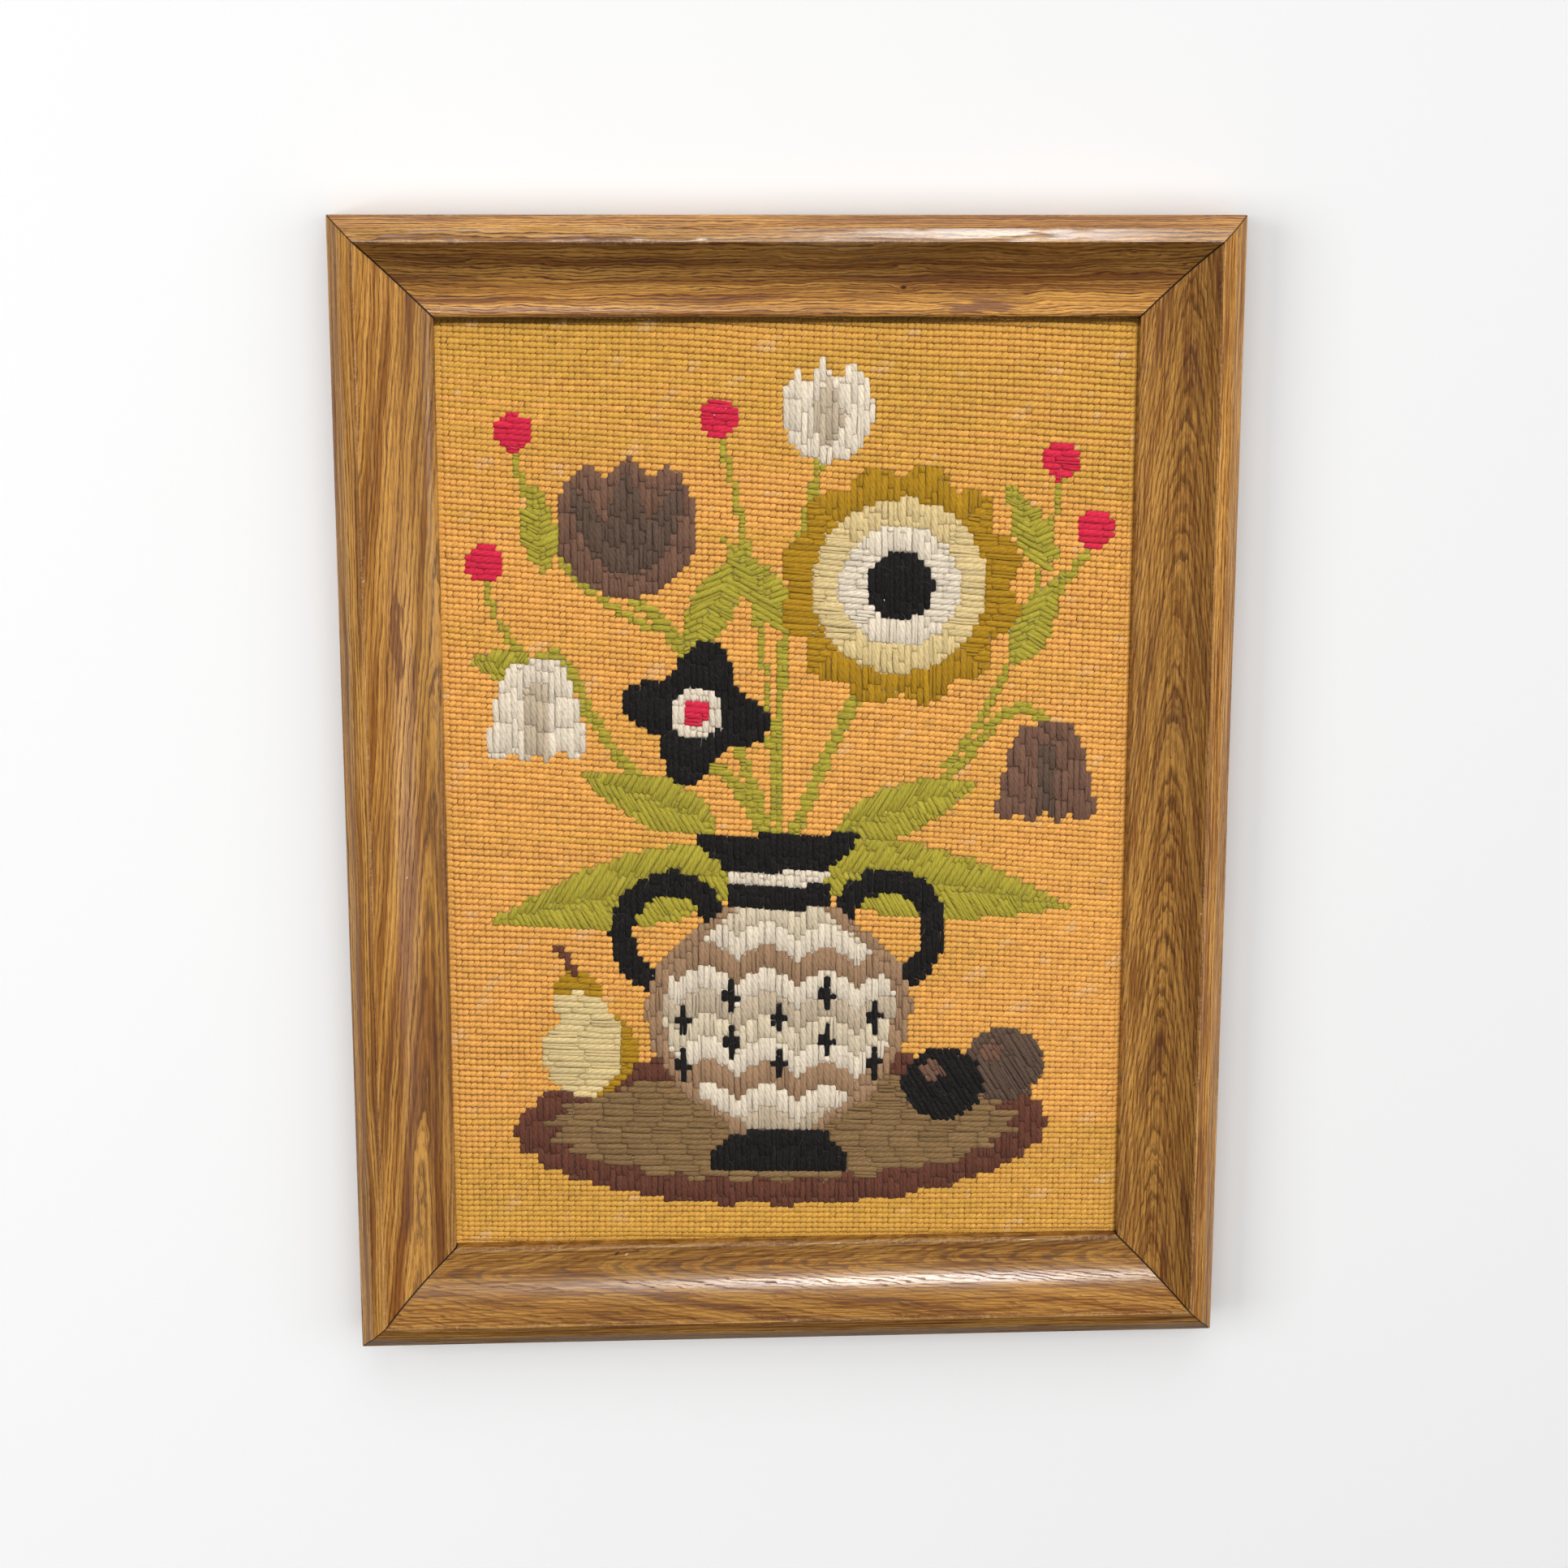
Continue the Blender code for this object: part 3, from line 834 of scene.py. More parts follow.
def raise_fibres(work, finish):
    """Loose fibres: thin tubes along a quadratic curve that leaves the wool, lifts a little and returns."""
    rng, stitches, design = work.rng, work.stitches, work.design
    count = stitches.fibre_count
    half_x = OUTER_WIDTH / 2 - work.moulding.rail_width - 2 * MM
    half_y = OUTER_HEIGHT / 2 - work.moulding.rail_width - 2 * MM
    place = np.stack([rng.uniform(-half_x, half_x, count), rng.uniform(-half_y, half_y, count)], axis=-1)
    heading = rng.uniform(0, math.tau, count)
    reach = rng.gamma(3.0, 1.4, count) * MM
    bend = rng.normal(0, 0.7, count)
    toward = np.stack([np.cos(heading), np.sin(heading)], axis=-1)
    askew = np.stack([np.cos(heading + bend), np.sin(heading + bend)], axis=-1)
    middle = place + toward * reach[:, None] * 0.5
    end = np.clip(middle + askew * reach[:, None] * 0.5, [-half_x, -half_y], [half_x, half_y])
    t = np.linspace(0.0, 1.0, 6)[None, :, None]
    line = (1 - t) ** 2 * place[:, None] + 2 * t * (1 - t) * middle[:, None] + t ** 2 * end[:, None]
    lift = rng.gamma(2.0, 0.28, count)[:, None] * MM * np.sin(math.pi * t[..., 0])
    path = raised(line, stitches.wool_top - 0.12 * MM + lift)
    radius = np.broadcast_to(rng.uniform(0.025, 0.05, count)[:, None] * MM, (count, 4))
    column, row = design.cell_at(place[:, 0], place[:, 1])
    tint = np.clip(work.dyes()[design.plan[row, column]] * 0.9 + 0.12, 0, 1)
    make_tubes("stray_fibres", path[:, 1:-1], crosswise(toward), (radius, radius), path[:, [0, -1]],
               FIBRE_RING, np.zeros((count, 4)), tint, finish)


# Moulding


def cove_line(moulding, count):
    """The hollow from the ridge to its inner end: an arc whose slope starts at the steep angle.

    The chord of an arc slopes by the mean of its end slopes, so the inner slope is twice the chord's less the
    steep angle, and the radius is the run over the difference of the two sines.
    """
    run = moulding.cove_end_inset - moulding.ridge_inset
    fall = moulding.ridge_height - moulding.cove_end_height
    steep = moulding.cove_steepness
    level = 2 * math.atan2(fall, run) - steep
    radius = run / (math.sin(steep) - math.sin(level))
    slope = np.linspace(steep, level, count)
    inset = moulding.ridge_inset + radius * (math.sin(steep) - np.sin(slope))
    height = moulding.ridge_height - radius * (np.cos(slope) - math.cos(steep))
    return np.stack([inset, height], axis=-1)


def soften_corner(before, corner, after, radius, steps=4):
    """Points of a small round that takes a sharp corner off, as a quadratic curve between its two legs."""
    to_before = (before - corner) / np.linalg.norm(before - corner)
    to_after = (after - corner) / np.linalg.norm(after - corner)
    start, end = corner + to_before * radius, corner + to_after * radius
    t = np.linspace(0, 1, steps)[:, None]
    return (1 - t) ** 2 * start + 2 * t * (1 - t) * corner + t ** 2 * end


def rail_section(moulding, inner_wear):
    """The closed section from the outer foot, over the rim to the sight edge and back, and its points' wear.

    The wear is a bell curve of the distance to each worn edge, 0.75 mm wide."""
    cove = cove_line(moulding, 26)
    soft = moulding.edge_softness
    foot = np.array([0.0, 0.0])
    shoulder = np.array([0.0, moulding.shoulder_height])
    kink = np.array([moulding.kink_inset, moulding.kink_height])
    ridge = np.array([moulding.ridge_inset, moulding.ridge_height])
    sight = np.array([moulding.rail_width, moulding.sight_height])
    lip = np.array([moulding.rail_width, moulding.lip_height])
    ledge = np.array([moulding.rabbet_inset, moulding.lip_height])
    heel = np.array([moulding.rabbet_inset, 0.0])

    def straight(first, second, low, high, count):
        """Points between two shares of the way from the first corner to the second."""
        return first + np.linspace(low, high, count)[:, None] * (second - first)

    section = np.concatenate([
        soften_corner(heel, foot, shoulder, 0.5 * MM, 3),
        straight(foot, shoulder, 0.08, 0.92, 8),
        soften_corner(foot, shoulder, kink, soft),
        straight(shoulder, kink, 0.2, 0.8, 4),
        soften_corner(shoulder, kink, ridge, soft),
        straight(kink, ridge, 0.2, 0.8, 4),
        soften_corner(kink, ridge, cove[3], soft),
        cove[2:-1],
        soften_corner(cove[-4], cove[-1], sight, 0.4 * MM, 3),
        soften_corner(cove[-1], sight, lip, 0.08 * MM, 3),
        straight(sight, lip, 0.25, 0.9, 4),
        [lip, ledge, heel],
    ])
    edges = ((shoulder, 0.8), (kink, 0.45), (ridge, 1.0), (cove[-1], inner_wear), (sight, 0.7))
    wear = np.zeros(len(section))
    for place, weight in edges:
        distance = np.linalg.norm(section - place, axis=1)
        wear = np.maximum(wear, weight * np.exp(-((distance / (0.75 * MM)) ** 2)))
    return section, wear


def shape_rail(moulding, name, outward, seed, finish, dull_shaded_finish, inner_wear):
    """One rail: the section swept along its side of the frame and cut at 45 degrees at both ends.

    A point at inset d reaches as far along as half the outer size, less d and less the mitre gap over the
    square root of 2. The worn edges have small seeded dents, each a bell-shaped hollow along the rail. Where
    a dull finish is given, the side and the outermost facet take it, duller and darker as painted shade.
    """
    section, wear = rail_section(moulding, inner_wear)
    outward = np.array(outward, dtype=float)
    along = np.array([outward[1], -outward[0]])
    upright = outward[0] != 0
    reach = (OUTER_WIDTH if upright else OUTER_HEIGHT) / 2
    half_length = (OUTER_HEIGHT if upright else OUTER_WIDTH) / 2
    share = np.linspace(-1, 1, moulding.stations)[:, None]
    run = share * (half_length - section[None, :, 0] - moulding.mitre_gap / math.sqrt(2))
    rng = np.random.default_rng(seed)
    inward = section.mean(axis=0) - section
    inward /= np.linalg.norm(inward, axis=1)[:, None]
    dents = np.zeros(run.shape)
    places = rng.uniform(-0.95, 0.95, 16) * half_length
    for place, size, depth in zip(places, rng.uniform(1.2, 3.2, 16) * MM, rng.uniform(0.08, 0.34, 16) * MM):
        dents += depth * np.exp(-(((run - place) / size) ** 2))
    dents = dents * wear[None, :]
    wave = 0.05 * MM * ripple(run, section[None, :, 1], seed + 5, 0.11)
    off_back = (section[:, 0] > 0.2 * MM) & (section[:, 1] > 0.2 * MM)
    shift = np.where(off_back[None, :], dents + np.maximum(wave, 0) * 0.6, 0.0)
    inset = section[None, :, 0] + inward[None, :, 0] * shift
    height = section[None, :, 1] + inward[None, :, 1] * shift
    flat = along[None, None, :] * run[..., None] + outward[None, None, :] * (reach - inset)[..., None]
    stations, around = run.shape
    index = np.arange(stations * around).reshape(stations, around)
    after = np.roll(index, -1, axis=1)
    quads = np.stack([index[:-1], after[:-1], after[1:], index[1:]], axis=-1).reshape(-1, 4)
    caps = np.stack([index[0][::-1], index[-1]])
    points = raised(flat, height).reshape(-1, 3)
    rail = make_piece(name + "_moulding", points, [quads, caps], finish)
    mesh = rail.data
    if dull_shaded_finish:
        mesh.materials.append(dull_shaded_finish)
        outermost = (section[:, 0] < moulding.kink_inset - moulding.edge_softness / 2) & (section[:, 1] > 0)
        dull = np.tile(outermost & np.roll(outermost, -1), stations - 1)
        mesh.polygons.foreach_set("material_index", np.append(dull, [False, False]).astype(np.int32))
    layer = mesh.attributes.new(name="Wear", type="FLOAT", domain="POINT")
    rub = 0.55 + 0.45 * ripple(run, section[None, :, 0] * 0, seed + 9, 0.05)
    values = np.clip(wear[None, :] * rub + dents / (0.3 * MM), 0, 1)
    layer.data.foreach_set("value", values.astype(np.float32).ravel())
    mesh.set_sharp_from_angle(angle=math.radians(40))
    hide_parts(name)


# Finishes


def arithmetic(operation, swapped=False):
    """A method that stands for an operator and adds its maths node."""
    def work_out(self, other):
        first, second = (other, self) if swapped else (self, other)
        return self.finish.math(operation, first, second)
    return work_out


class Value:
    """A number, place or colour that varies over a surface. Arithmetic on it adds the nodes for that."""

    def __init__(self, finish, socket):
        self.finish = finish
        self.socket = socket

    def __abs__(self):
        return self.finish.math("ABSOLUTE", self)

    __add__ = __radd__ = arithmetic("ADD")
    __sub__ = arithmetic("SUBTRACT")
    __rsub__ = arithmetic("SUBTRACT", swapped=True)
    __mul__ = __rmul__ = arithmetic("MULTIPLY")
    __truediv__ = arithmetic("DIVIDE")


class Finish:
    """A node material in the making: adds nodes, joins them and sets the surface shader."""

    def __init__(self, name):
        self.material = bpy.data.materials.new(name)
        self.material.use_nodes = True
        self.tree = self.material.node_tree
        self.surface = self.tree.nodes["Principled BSDF"]

    def feed(self, socket, value):
        """Links a value to a socket, or sets a plain number, triple or colour on it."""
        if isinstance(value, Value):
            self.tree.links.new(value.socket, socket)
        else:
            socket.default_value = (*value[:3], 1.0) if socket.type == "RGBA" else value

    def set(self, **values):
        for name, value in values.items():
            self.feed(self.surface.inputs[name.replace("_", " ")], value)

    def node(self, kind, inputs=None, output=0, **choices):
        """Adds a node with its choices and inputs, and gives back one of its outputs."""
        node = self.tree.nodes.new("ShaderNode" + kind)
        for name, choice in choices.items():
            setattr(node, name, choice)
        for key, value in (inputs or {}).items():
            self.feed(node.inputs[key], value)
        return Value(self, node.outputs[output])

    def math(self, operation, first, second=0.0):
        return self.node("Math", {0: first, 1: second}, operation=operation)

    def most(self, first, *others):
        """The largest of several values."""
        for other in others:
            first = self.math("MAXIMUM", first, other)
        return first

    def join(self, x, y, z=0.0):
        return self.node("CombineXYZ", {0: x, 1: y, 2: z})

    def split(self, place):
        parts = self.node("SeparateXYZ", {0: place}).socket.node
        return [Value(self, socket) for socket in parts.outputs]

    def length(self, place):
        return self.node("VectorMath", {0: place}, "Value", operation="LENGTH")

    def scaled(self, value, factor):
        """A place or colour times a factor."""
        return self.node("VectorMath", {0: value, "Scale": factor}, operation="SCALE")

    def place(self, scale):
        """The place on the piece, times a scale."""
        return self.scaled(self.node("TexCoord", output="Object"), scale)

    def attribute(self, name, output="Color"):
        return self.node("Attribute", output=output, attribute_name=name)

    def noise(self, place, detail=2.0, roughness=0.5):
        given = {"Vector": place, "Scale": 1.0, "Detail": detail, "Roughness": roughness}
        return self.node("TexNoise", given)

    def ramp(self, value, low, high, out_low=0.0, out_high=1.0):
        """Smooth change from out_low to out_high as the value goes from low to high."""
        given = dict(enumerate((value, low, high, out_low, out_high)))
        return self.node("MapRange", given, interpolation_type="SMOOTHSTEP")

    def mix(self, share, first, second):
        """The first colour where the share is 0, and the second where it is 1."""
        colours = {0: share, 6: first, 7: second}
        return self.node("Mix", colours, 2, data_type="RGBA")

    def bump(self, height, distance, strength=1.0):
        given = {"Height": height, "Distance": distance, "Strength": strength}
        self.set(Normal=self.node("Bump", given))


def wool_finish(name, turn_mm, plies, painted_groove_shade, fibre):
    """Spun wool: its plies wind once round the strand in each turn, and fine fibres run along the plies.

    The winding is the distance along the strand over the turn, plus the share of the way round. Painted shade
    darkens the grooves between plies by the given share, and painted light lifts the plies' crests by three
    tenths of it; the fibres vary the tone by the fibre's amount either way, and some fibres are pale and grey.
    """
    wool = Finish(name)
    run, share, _ = wool.split(wool.node("UVMap", uv_map="Strand"))
    winding = run / turn_mm + share
    groove = wool.ramp(wool.math("PINGPONG", winding, 0.5 / plies), 0.0, 0.45 / plies)
    fibres = wool.noise(wool.join(winding * 26.0, run * 0.55, share * 1.5), 3.0, 0.6)
    fluff = wool.ramp(wool.noise(wool.place(2600)), 0.25, 0.75, -0.07, 0.07)
    # Painted shade in the grooves between plies, and painted light on the plies' crests.
    painted_ply_shade = wool.ramp(groove, 0.0, 1.0, 1.0 - painted_groove_shade, 1.0 + painted_groove_shade * 0.3)
    shade = painted_ply_shade + wool.ramp(fibres, 0.30, 0.72, -fibre, fibre) + fluff
    dyed = wool.scaled(wool.attribute("Dye"), shade)
    dyed = wool.mix(wool.ramp(fibres, 0.50, 0.76, 0.0, 0.14), dyed, (0.20, 0.18, 0.16))
    wool.set(Base_Color=dyed, Roughness=0.9, Sheen_Weight=0.04, Sheen_Roughness=0.4, Specular_IOR_Level=0.08)
    wool.bump(groove * 0.5 + fibres * 0.9, 0.16 * MM, 0.8)
    return wool.material


def canvas_finish(pitch):
    """Cotton canvas: rounded threads both ways at the stitches' pitch, painted shade between them, fine fibre
    noise.
    """
    canvas = Finish("cotton_canvas")
    x, y, _ = canvas.split(canvas.place(math.pi / pitch))
    threads = canvas.most(abs(canvas.math("SINE", x)), abs(canvas.math("SINE", y)))
    fuzz = canvas.noise(canvas.place(1800))
    # Painted shade: the canvas is darker between its threads.
    shade = canvas.ramp(threads, 0.4, 1.0, 0.55, 1.05) + canvas.ramp(fuzz, 0.3, 0.7, -0.08, 0.08)
    canvas.set(Base_Color=canvas.scaled(canvas.attribute("Dye"), shade), Roughness=0.92)
    canvas.bump(threads + fuzz * 0.3, 0.2 * MM, 0.7)
    return canvas.material


def oak_finish(name, timber):
    """Golden oak under satin varnish, in millimetres.

    In the hollow, the growth rings are counted along the rail by the spacing of the arches' points and across
    it by the spacing of the lines, with the distance from the centre line rounded by sqrt(u² + w²), so that
    they show as arches that run out into lines. Slow and quick unevenness is added, and the rings bend round
    a knot. On the rim and the side they are plain lines. A ring opens with a dark line that the pores break
    into dashes, and finer lines run between. Every few rings, a band is purplish where more stain went in,
    and so is the plume, a ragged streak. The upper facet of the rim is scaled by the rim's factor, which
    darkens it as stain on the top rail and lightens it as painted light on the right rail. The hollow is
    scaled, as painted shade, by a factor that goes from its upper to its lower part by the fade. The wood is
    dark beside the mitres, where stain and dust have gathered, and pale where its edges are worn.
    """
    oak = Finish(name)
    x, y, z = oak.split(oak.place(1 / MM))
    run, across = (x, y) if timber.along == "x" else (y, x)
    outer = (OUTER_WIDTH / MM, OUTER_HEIGHT / MM)
    outer_run, outer_across = outer if timber.along == "x" else outer[::-1]
    inset = outer_across / 2 - abs(across)
    from_mitre = outer_run / 2 - abs(run) - inset

    def grain(along_scale, across_scale, depth_scale, offset=0.0, detail=2.0, roughness=0.5):
        """Noise stretched along the grain."""
        depth = z * depth_scale + (timber.seed + offset)
        return oak.noise(oak.join(run * along_scale, across * across_scale, depth), detail, roughness)

    from_centre = run * -timber.lean + (across - timber.centre)
    from_centre = (grain(0.010, 0.03, 0.0, 0.0, 1.0) - 0.5) * (timber.sway * 2.4) + from_centre
    rounded = oak.math("SQRT", from_centre * from_centre + timber.roundness ** 2)
    in_hollow = run * (1 / timber.point_spacing) + rounded / timber.line_spacing
    in_hollow = grain(0.030, 0.10, 0.10) * timber.sway + in_hollow
    on_rim = oak.math("LESS_THAN", inset, 10.4)
    off_rim = 1.0 - on_rim * 0.75
    on_lines = grain(0.010, 0.10, 0.10, 9.0) * 4.5 + (inset * 0.48 + z * 0.70)
    growth = on_lines * on_rim + in_hollow * (1.0 - on_rim)
    growth = grain(0.12, 0.50, 0.50, 5.0, 1.0) * timber.quiver + growth
    from_knot = oak.length(oak.join((run - timber.knot[0]) * 0.6, across - timber.knot[1]))
    growth = growth + oak.ramp(from_knot, 0.3, 4.5, 1.4, 0.0)
    growth = growth + oak.noise(oak.join(growth * 0.19, timber.seed), 1.0) * 2.0

    ring = oak.math("FRACT", growth)
    early = oak.ramp(ring, 0.0, 0.08) * oak.ramp(ring, 0.24, 0.58, 1.0, 0.0)
    between = oak.math("FRACT", growth * 2.3)
    late = oak.ramp(between, 0.0, 0.15) * oak.ramp(between, 0.25, 0.55, 1.0, 0.0)
    pores = grain(0.15, 2.4, 2.4, 1.0, 2.0, 0.6)
    fine_pores = grain(0.30, 4.2, 4.2, 2.0, 2.0, 0.6)
    streaks = grain(0.030, 1.3, 1.3, 3.0, 2.0, 0.6)
    patch = grain(0.012, 0.06, 0.0, 4.0, 1.0)
    broad = oak.noise(oak.join(growth * 0.42, run * 0.006, timber.seed + 3.0), 1.0)
    boldness = oak.noise(oak.join(growth * 0.80, run * 0.006, timber.seed + 17.0), 1.0)
    lines = early * oak.ramp(pores, 0.34, 0.54, 0.25, 1.0) * oak.ramp(boldness, 0.32, 0.55, 0.50, 1.0)
    thin = late * oak.ramp(fine_pores, 0.40, 0.60, 0.10, 0.70)
    dark = oak.most(lines, thin, oak.ramp(fine_pores, 0.56, 0.68, 0.0, 0.50))
    band = oak.math("PINGPONG", growth / 6.3, 0.5)
    stained = oak.ramp(band, 0.30, 0.48) * oak.ramp(patch, 0.44, 0.60)
    stained = stained * oak.ramp(streaks, 0.35, 0.60, 1.0, 0.45)
    flame = oak.join((run - timber.plume[0]) / timber.plume[2], (across - timber.plume[1]) / 3.2)
    ragged = (grain(0.08, 0.75, 0.0, 11.0) - 0.5) * 2.6 + oak.length(flame)
    stained = oak.most(stained, oak.ramp(ragged, 0.55, 0.95, 0.95, 0.0))

    lightness = broad * timber.banding + streaks * (1.8 - timber.banding)
    wood = oak.mix(oak.ramp(lightness, 0.62, 1.14), DEEP_WOOD, LIGHT_WOOD)
    wood = oak.mix(stained * 0.80, wood, STAINED_WOOD)
    wood = oak.mix(dark * timber.bold, wood, DARK_RING)
    wood = oak.scaled(wood, oak.ramp(patch, 0.25, 0.75, timber.tone * 1.07, timber.tone * 0.93))
    # Painted shade: each rail's hollow is scaled from its upper to its lower part by its own factors.
    upper, lower = timber.hollow * (1 - timber.fade), timber.hollow * (1 + timber.fade)
    painted_hollow_shade = on_rim * 2.0 + oak.ramp(inset, 18.0, 37.0, upper, lower)
    # The rim's upper facet: darker as stain on the top rail, lighter as painted light on the right rail.
    rim_stain_and_painted_light = oak.ramp(inset, 4.8, 5.3, 1.0, timber.rim) + oak.ramp(inset, 10.3, 10.5)
    wood = oak.scaled(wood, oak.math("MINIMUM", painted_hollow_shade, rim_stain_and_painted_light))
    wood = oak.mix(oak.ramp(from_knot, 0.4, 1.0, 0.9, 0.0), wood, KNOT_HEART)
    chips = oak.noise(oak.place(700), 3.0, 0.7)
    for mark in timber.marks:
        off_run, off_across = run - mark.run, across - mark.across
        slanted = oak.join(off_across * 0.8 + off_run, (off_run * -0.6 + off_across) * 3.0)
        away = (chips - 0.5) * (mark.radius * 1.6) + oak.length(slanted)
        on_mark = oak.ramp(away, mark.radius * 0.6, mark.radius, 0.85, 0.0)
        wood = oak.mix(on_mark, wood, CHIPPED_WOOD if mark.pale else DARK_DENT)
    wear = oak.attribute("Wear", "Fac")
    wood = oak.mix(wear * oak.ramp(chips, 0.46, 0.66, 0.04, 0.60), wood, WORN_EDGE)
    joint = oak.ramp(from_mitre, 0.25, 0.80, 1.0, 0.0) * oak.ramp(inset, 9.0, 13.0, 0.45, 0.95)
    wood = oak.mix(joint, wood, MITRE_DUST)

    rough = oak.most(dark * 0.55, stained * 0.6, joint) * off_rim
    dulled = oak.ramp(grain(0.022, 0.30, 0.30, 13.0), 0.50, 0.60, 0.0, 0.7) * on_rim
    rough = oak.ramp(oak.most(rough, dulled, wear), 0.1, 0.8, 0.21, 0.56)
    oak.set(Base_Color=wood, Roughness=rough, Specular_IOR_Level=timber.gloss)
    oak.bump((grain(0.020, 0.70, 0.70, 8.0, 0.0) - lines * 0.12) * off_rim, 0.028 * MM)
    return oak.material


def board_finish():
    """Pressed wood board: pale brown flakes and fine dark specks."""
    board = Finish("pressed_board")
    flakes = board.noise(board.place(220), 4.0, 0.65)
    specks = board.noise(board.place(1400))
    tone = board.mix(board.ramp(flakes, 0.35, 0.65), (0.27, 0.165, 0.085), (0.36, 0.235, 0.130))
    tone = board.mix(board.ramp(specks, 0.60, 0.70, 0.0, 0.7), tone, (0.12, 0.070, 0.038))
    board.set(Base_Color=tone, Roughness=0.82)
    board.bump(flakes + specks * 0.5, 0.1 * MM, 0.4)
    return board.material


# Stage


def light_room(strength):
    """White light from all round, far stronger from beyond the picture's top than from beyond its foot."""
    room = bpy.data.worlds.new("room")
    room.use_nodes = True
    tree = room.node_tree
    direction = tree.nodes.new("ShaderNodeTexCoord").outputs["Generated"]
    parts = tree.nodes.new("ShaderNodeSeparateXYZ")
    tree.links.new(direction, parts.inputs[0])
    slope = tree.nodes.new("ShaderNodeMapRange")
    for socket, value in zip(slope.inputs[1:5], (-1.0, 1.0, strength * 0.15, strength * 1.85)):
        socket.default_value = value
    tree.links.new(parts.outputs[1], slope.inputs[0])
    background = tree.nodes["Background"]
    background.inputs["Color"].default_value = (1.0, 1.0, 1.0, 1.0)
    tree.links.new(slope.outputs[0], background.inputs["Strength"])
    return room


def add_softbox(scene, name, place, aim, size, strength, degrees=0.0):
    """An area light that faces a point, wide across the picture and deep up it, turned on its own axis."""
    light = bpy.data.lights.new(name, "AREA")
    light.shape = "RECTANGLE"
    light.size, light.size_y = size
    light.energy = strength
    lamp = bpy.data.objects.new(name, light)
    facing = (Vector(aim) - Vector(place)).to_track_quat("-Z", "Y").to_matrix()
    turn = Matrix.Rotation(math.radians(degrees), 3, "Z")
    lamp.matrix_world = Matrix.Translation(place) @ (facing @ turn).to_4x4()
    scene.collection.objects.link(lamp)
    return lamp


def share_light(lamp, pieces, state):
    """Lets a lamp light these pieces alone (INCLUDE), or all but these (EXCLUDE)."""
    receivers = bpy.data.collections.new(lamp.name + "_receivers")
    lamp.light_linking.receiver_collection = receivers
    for piece in pieces:
        receivers.objects.link(piece)
    for entry in receivers.collection_objects:
        entry.light_linking.link_state = state


def add_camera(scene, lens):
    """The photograph's viewpoint: above the picture's top left, tipped, panned and rolled a little."""
    camera = bpy.data.cameras.new("camera")
    camera.lens = lens
    camera.sensor_width = 36.0
    camera.sensor_fit = "HORIZONTAL"
    camera.clip_start = 0.01
    viewer = bpy.data.objects.new("camera", camera)
    tip, pan, roll = 0.20478, 0.05314, 0.01062
    turn = Matrix.Rotation(-tip, 4, "X") @ Matrix.Rotation(-pan, 4, "Y") @ Matrix.Rotation(-roll, 4, "Z")
    viewer.matrix_world = Matrix.Translation((-0.06272, 0.23653, 1.1290)) @ turn
    scene.collection.objects.link(viewer)
    scene.camera = viewer


# Operators


class PICTURE_OT_lay_canvas(bpy.types.Operator):
    """Lays the cut canvas and its bare threads"""

    bl_idname = "picture.lay_canvas"
    bl_label = "Canvas"

    def execute(self, context):
        work = Work(context.scene, 1)
        finish = canvas_finish(work.stitches.thread_pitch)
        canvas = lay_canvas(work, finish)
        bare_threads(work, finish)
        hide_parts("stitched_canvas")
        return {"FINISHED"}


class PICTURE_OT_work_ground(bpy.types.Operator):
    """Works the plain ground in slanting stitches, in three pieces from the foot up"""

    bl_idname = "picture.work_ground"
    bl_label = "Ground stitches"

    def execute(self, context):
        work = Work(context.scene, 2)
        row, column = np.nonzero(work.design.plan == 0)
        finish = wool_finish("ground_wool", 15.0, 6, 0.10, 0.16)
        third = np.percentile(row, (0, 32, 63, 100)).astype(int)
        third[-1] += 1
        for name, first, beyond in zip(("lower", "middle", "upper"), third[:-1], third[1:]):
            chosen = (row >= first) & (row < beyond)
            work_ground(work, "ground_stitches_" + name, column[chosen], row[chosen], finish)
        return {"FINISHED"}


class PICTURE_OT_work_motifs(bpy.types.Operator):
    """Works the flowers, the vase, the fruit and the mat in long stitches"""

    bl_idname = "picture.work_motifs"
    bl_label = "Long stitches"

    def execute(self, context):
        work = Work(context.scene, 3)
        start, end, form, half_width = gather_strands(work)
        tint = np.clip(work.dyes()[form] * work.rng.normal(1.0, 0.055, len(form))[:, None], 0, 1)
        long = np.linalg.norm(end - start, axis=1) > 6.5 * MM
        upper = (start[:, 1] + end[:, 1]) / 2 > -0.024
        finish = wool_finish("stitching_wool", 19.0, 5, 0.12, 0.20)
        for name, chosen, rings in (
            ("flower_stitches", upper & long, 6), ("flower_stitches_short", upper & ~long, 4),
            ("vase_stitches", ~upper & long, 6), ("vase_stitches_short", ~upper & ~long, 4),
        ):
            strands = (values[chosen] for values in (start, end, half_width, tint))
            work_strands(work, name, *strands, rings, finish)
        return {"FINISHED"}


class PICTURE_OT_raise_fibres(bpy.types.Operator):
    """Raises stray fibres from the wool"""

    bl_idname = "picture.raise_fibres"
    bl_label = "Stray fibres"

    def execute(self, context):
        raise_fibres(Work(context.scene, 4), wool_finish("fibre_wool", 8.0, 3, 0.0, 0.1))
        return {"FINISHED"}


class PICTURE_OT_stretch_canvas(bpy.types.Operator):
    bl_idname = "picture.stretch_canvas"
    bl_label = "Stretched sheet"

    def execute(self, context):
        objects = context.scene.objects
        worked = [o for o in objects if "_stitches" in o.name or o.name in {"bare_threads", "stray_fibres"}]
        if not worked:
            raise RuntimeError("work the stitches before the canvas is stretched")
        return {"FINISHED"}


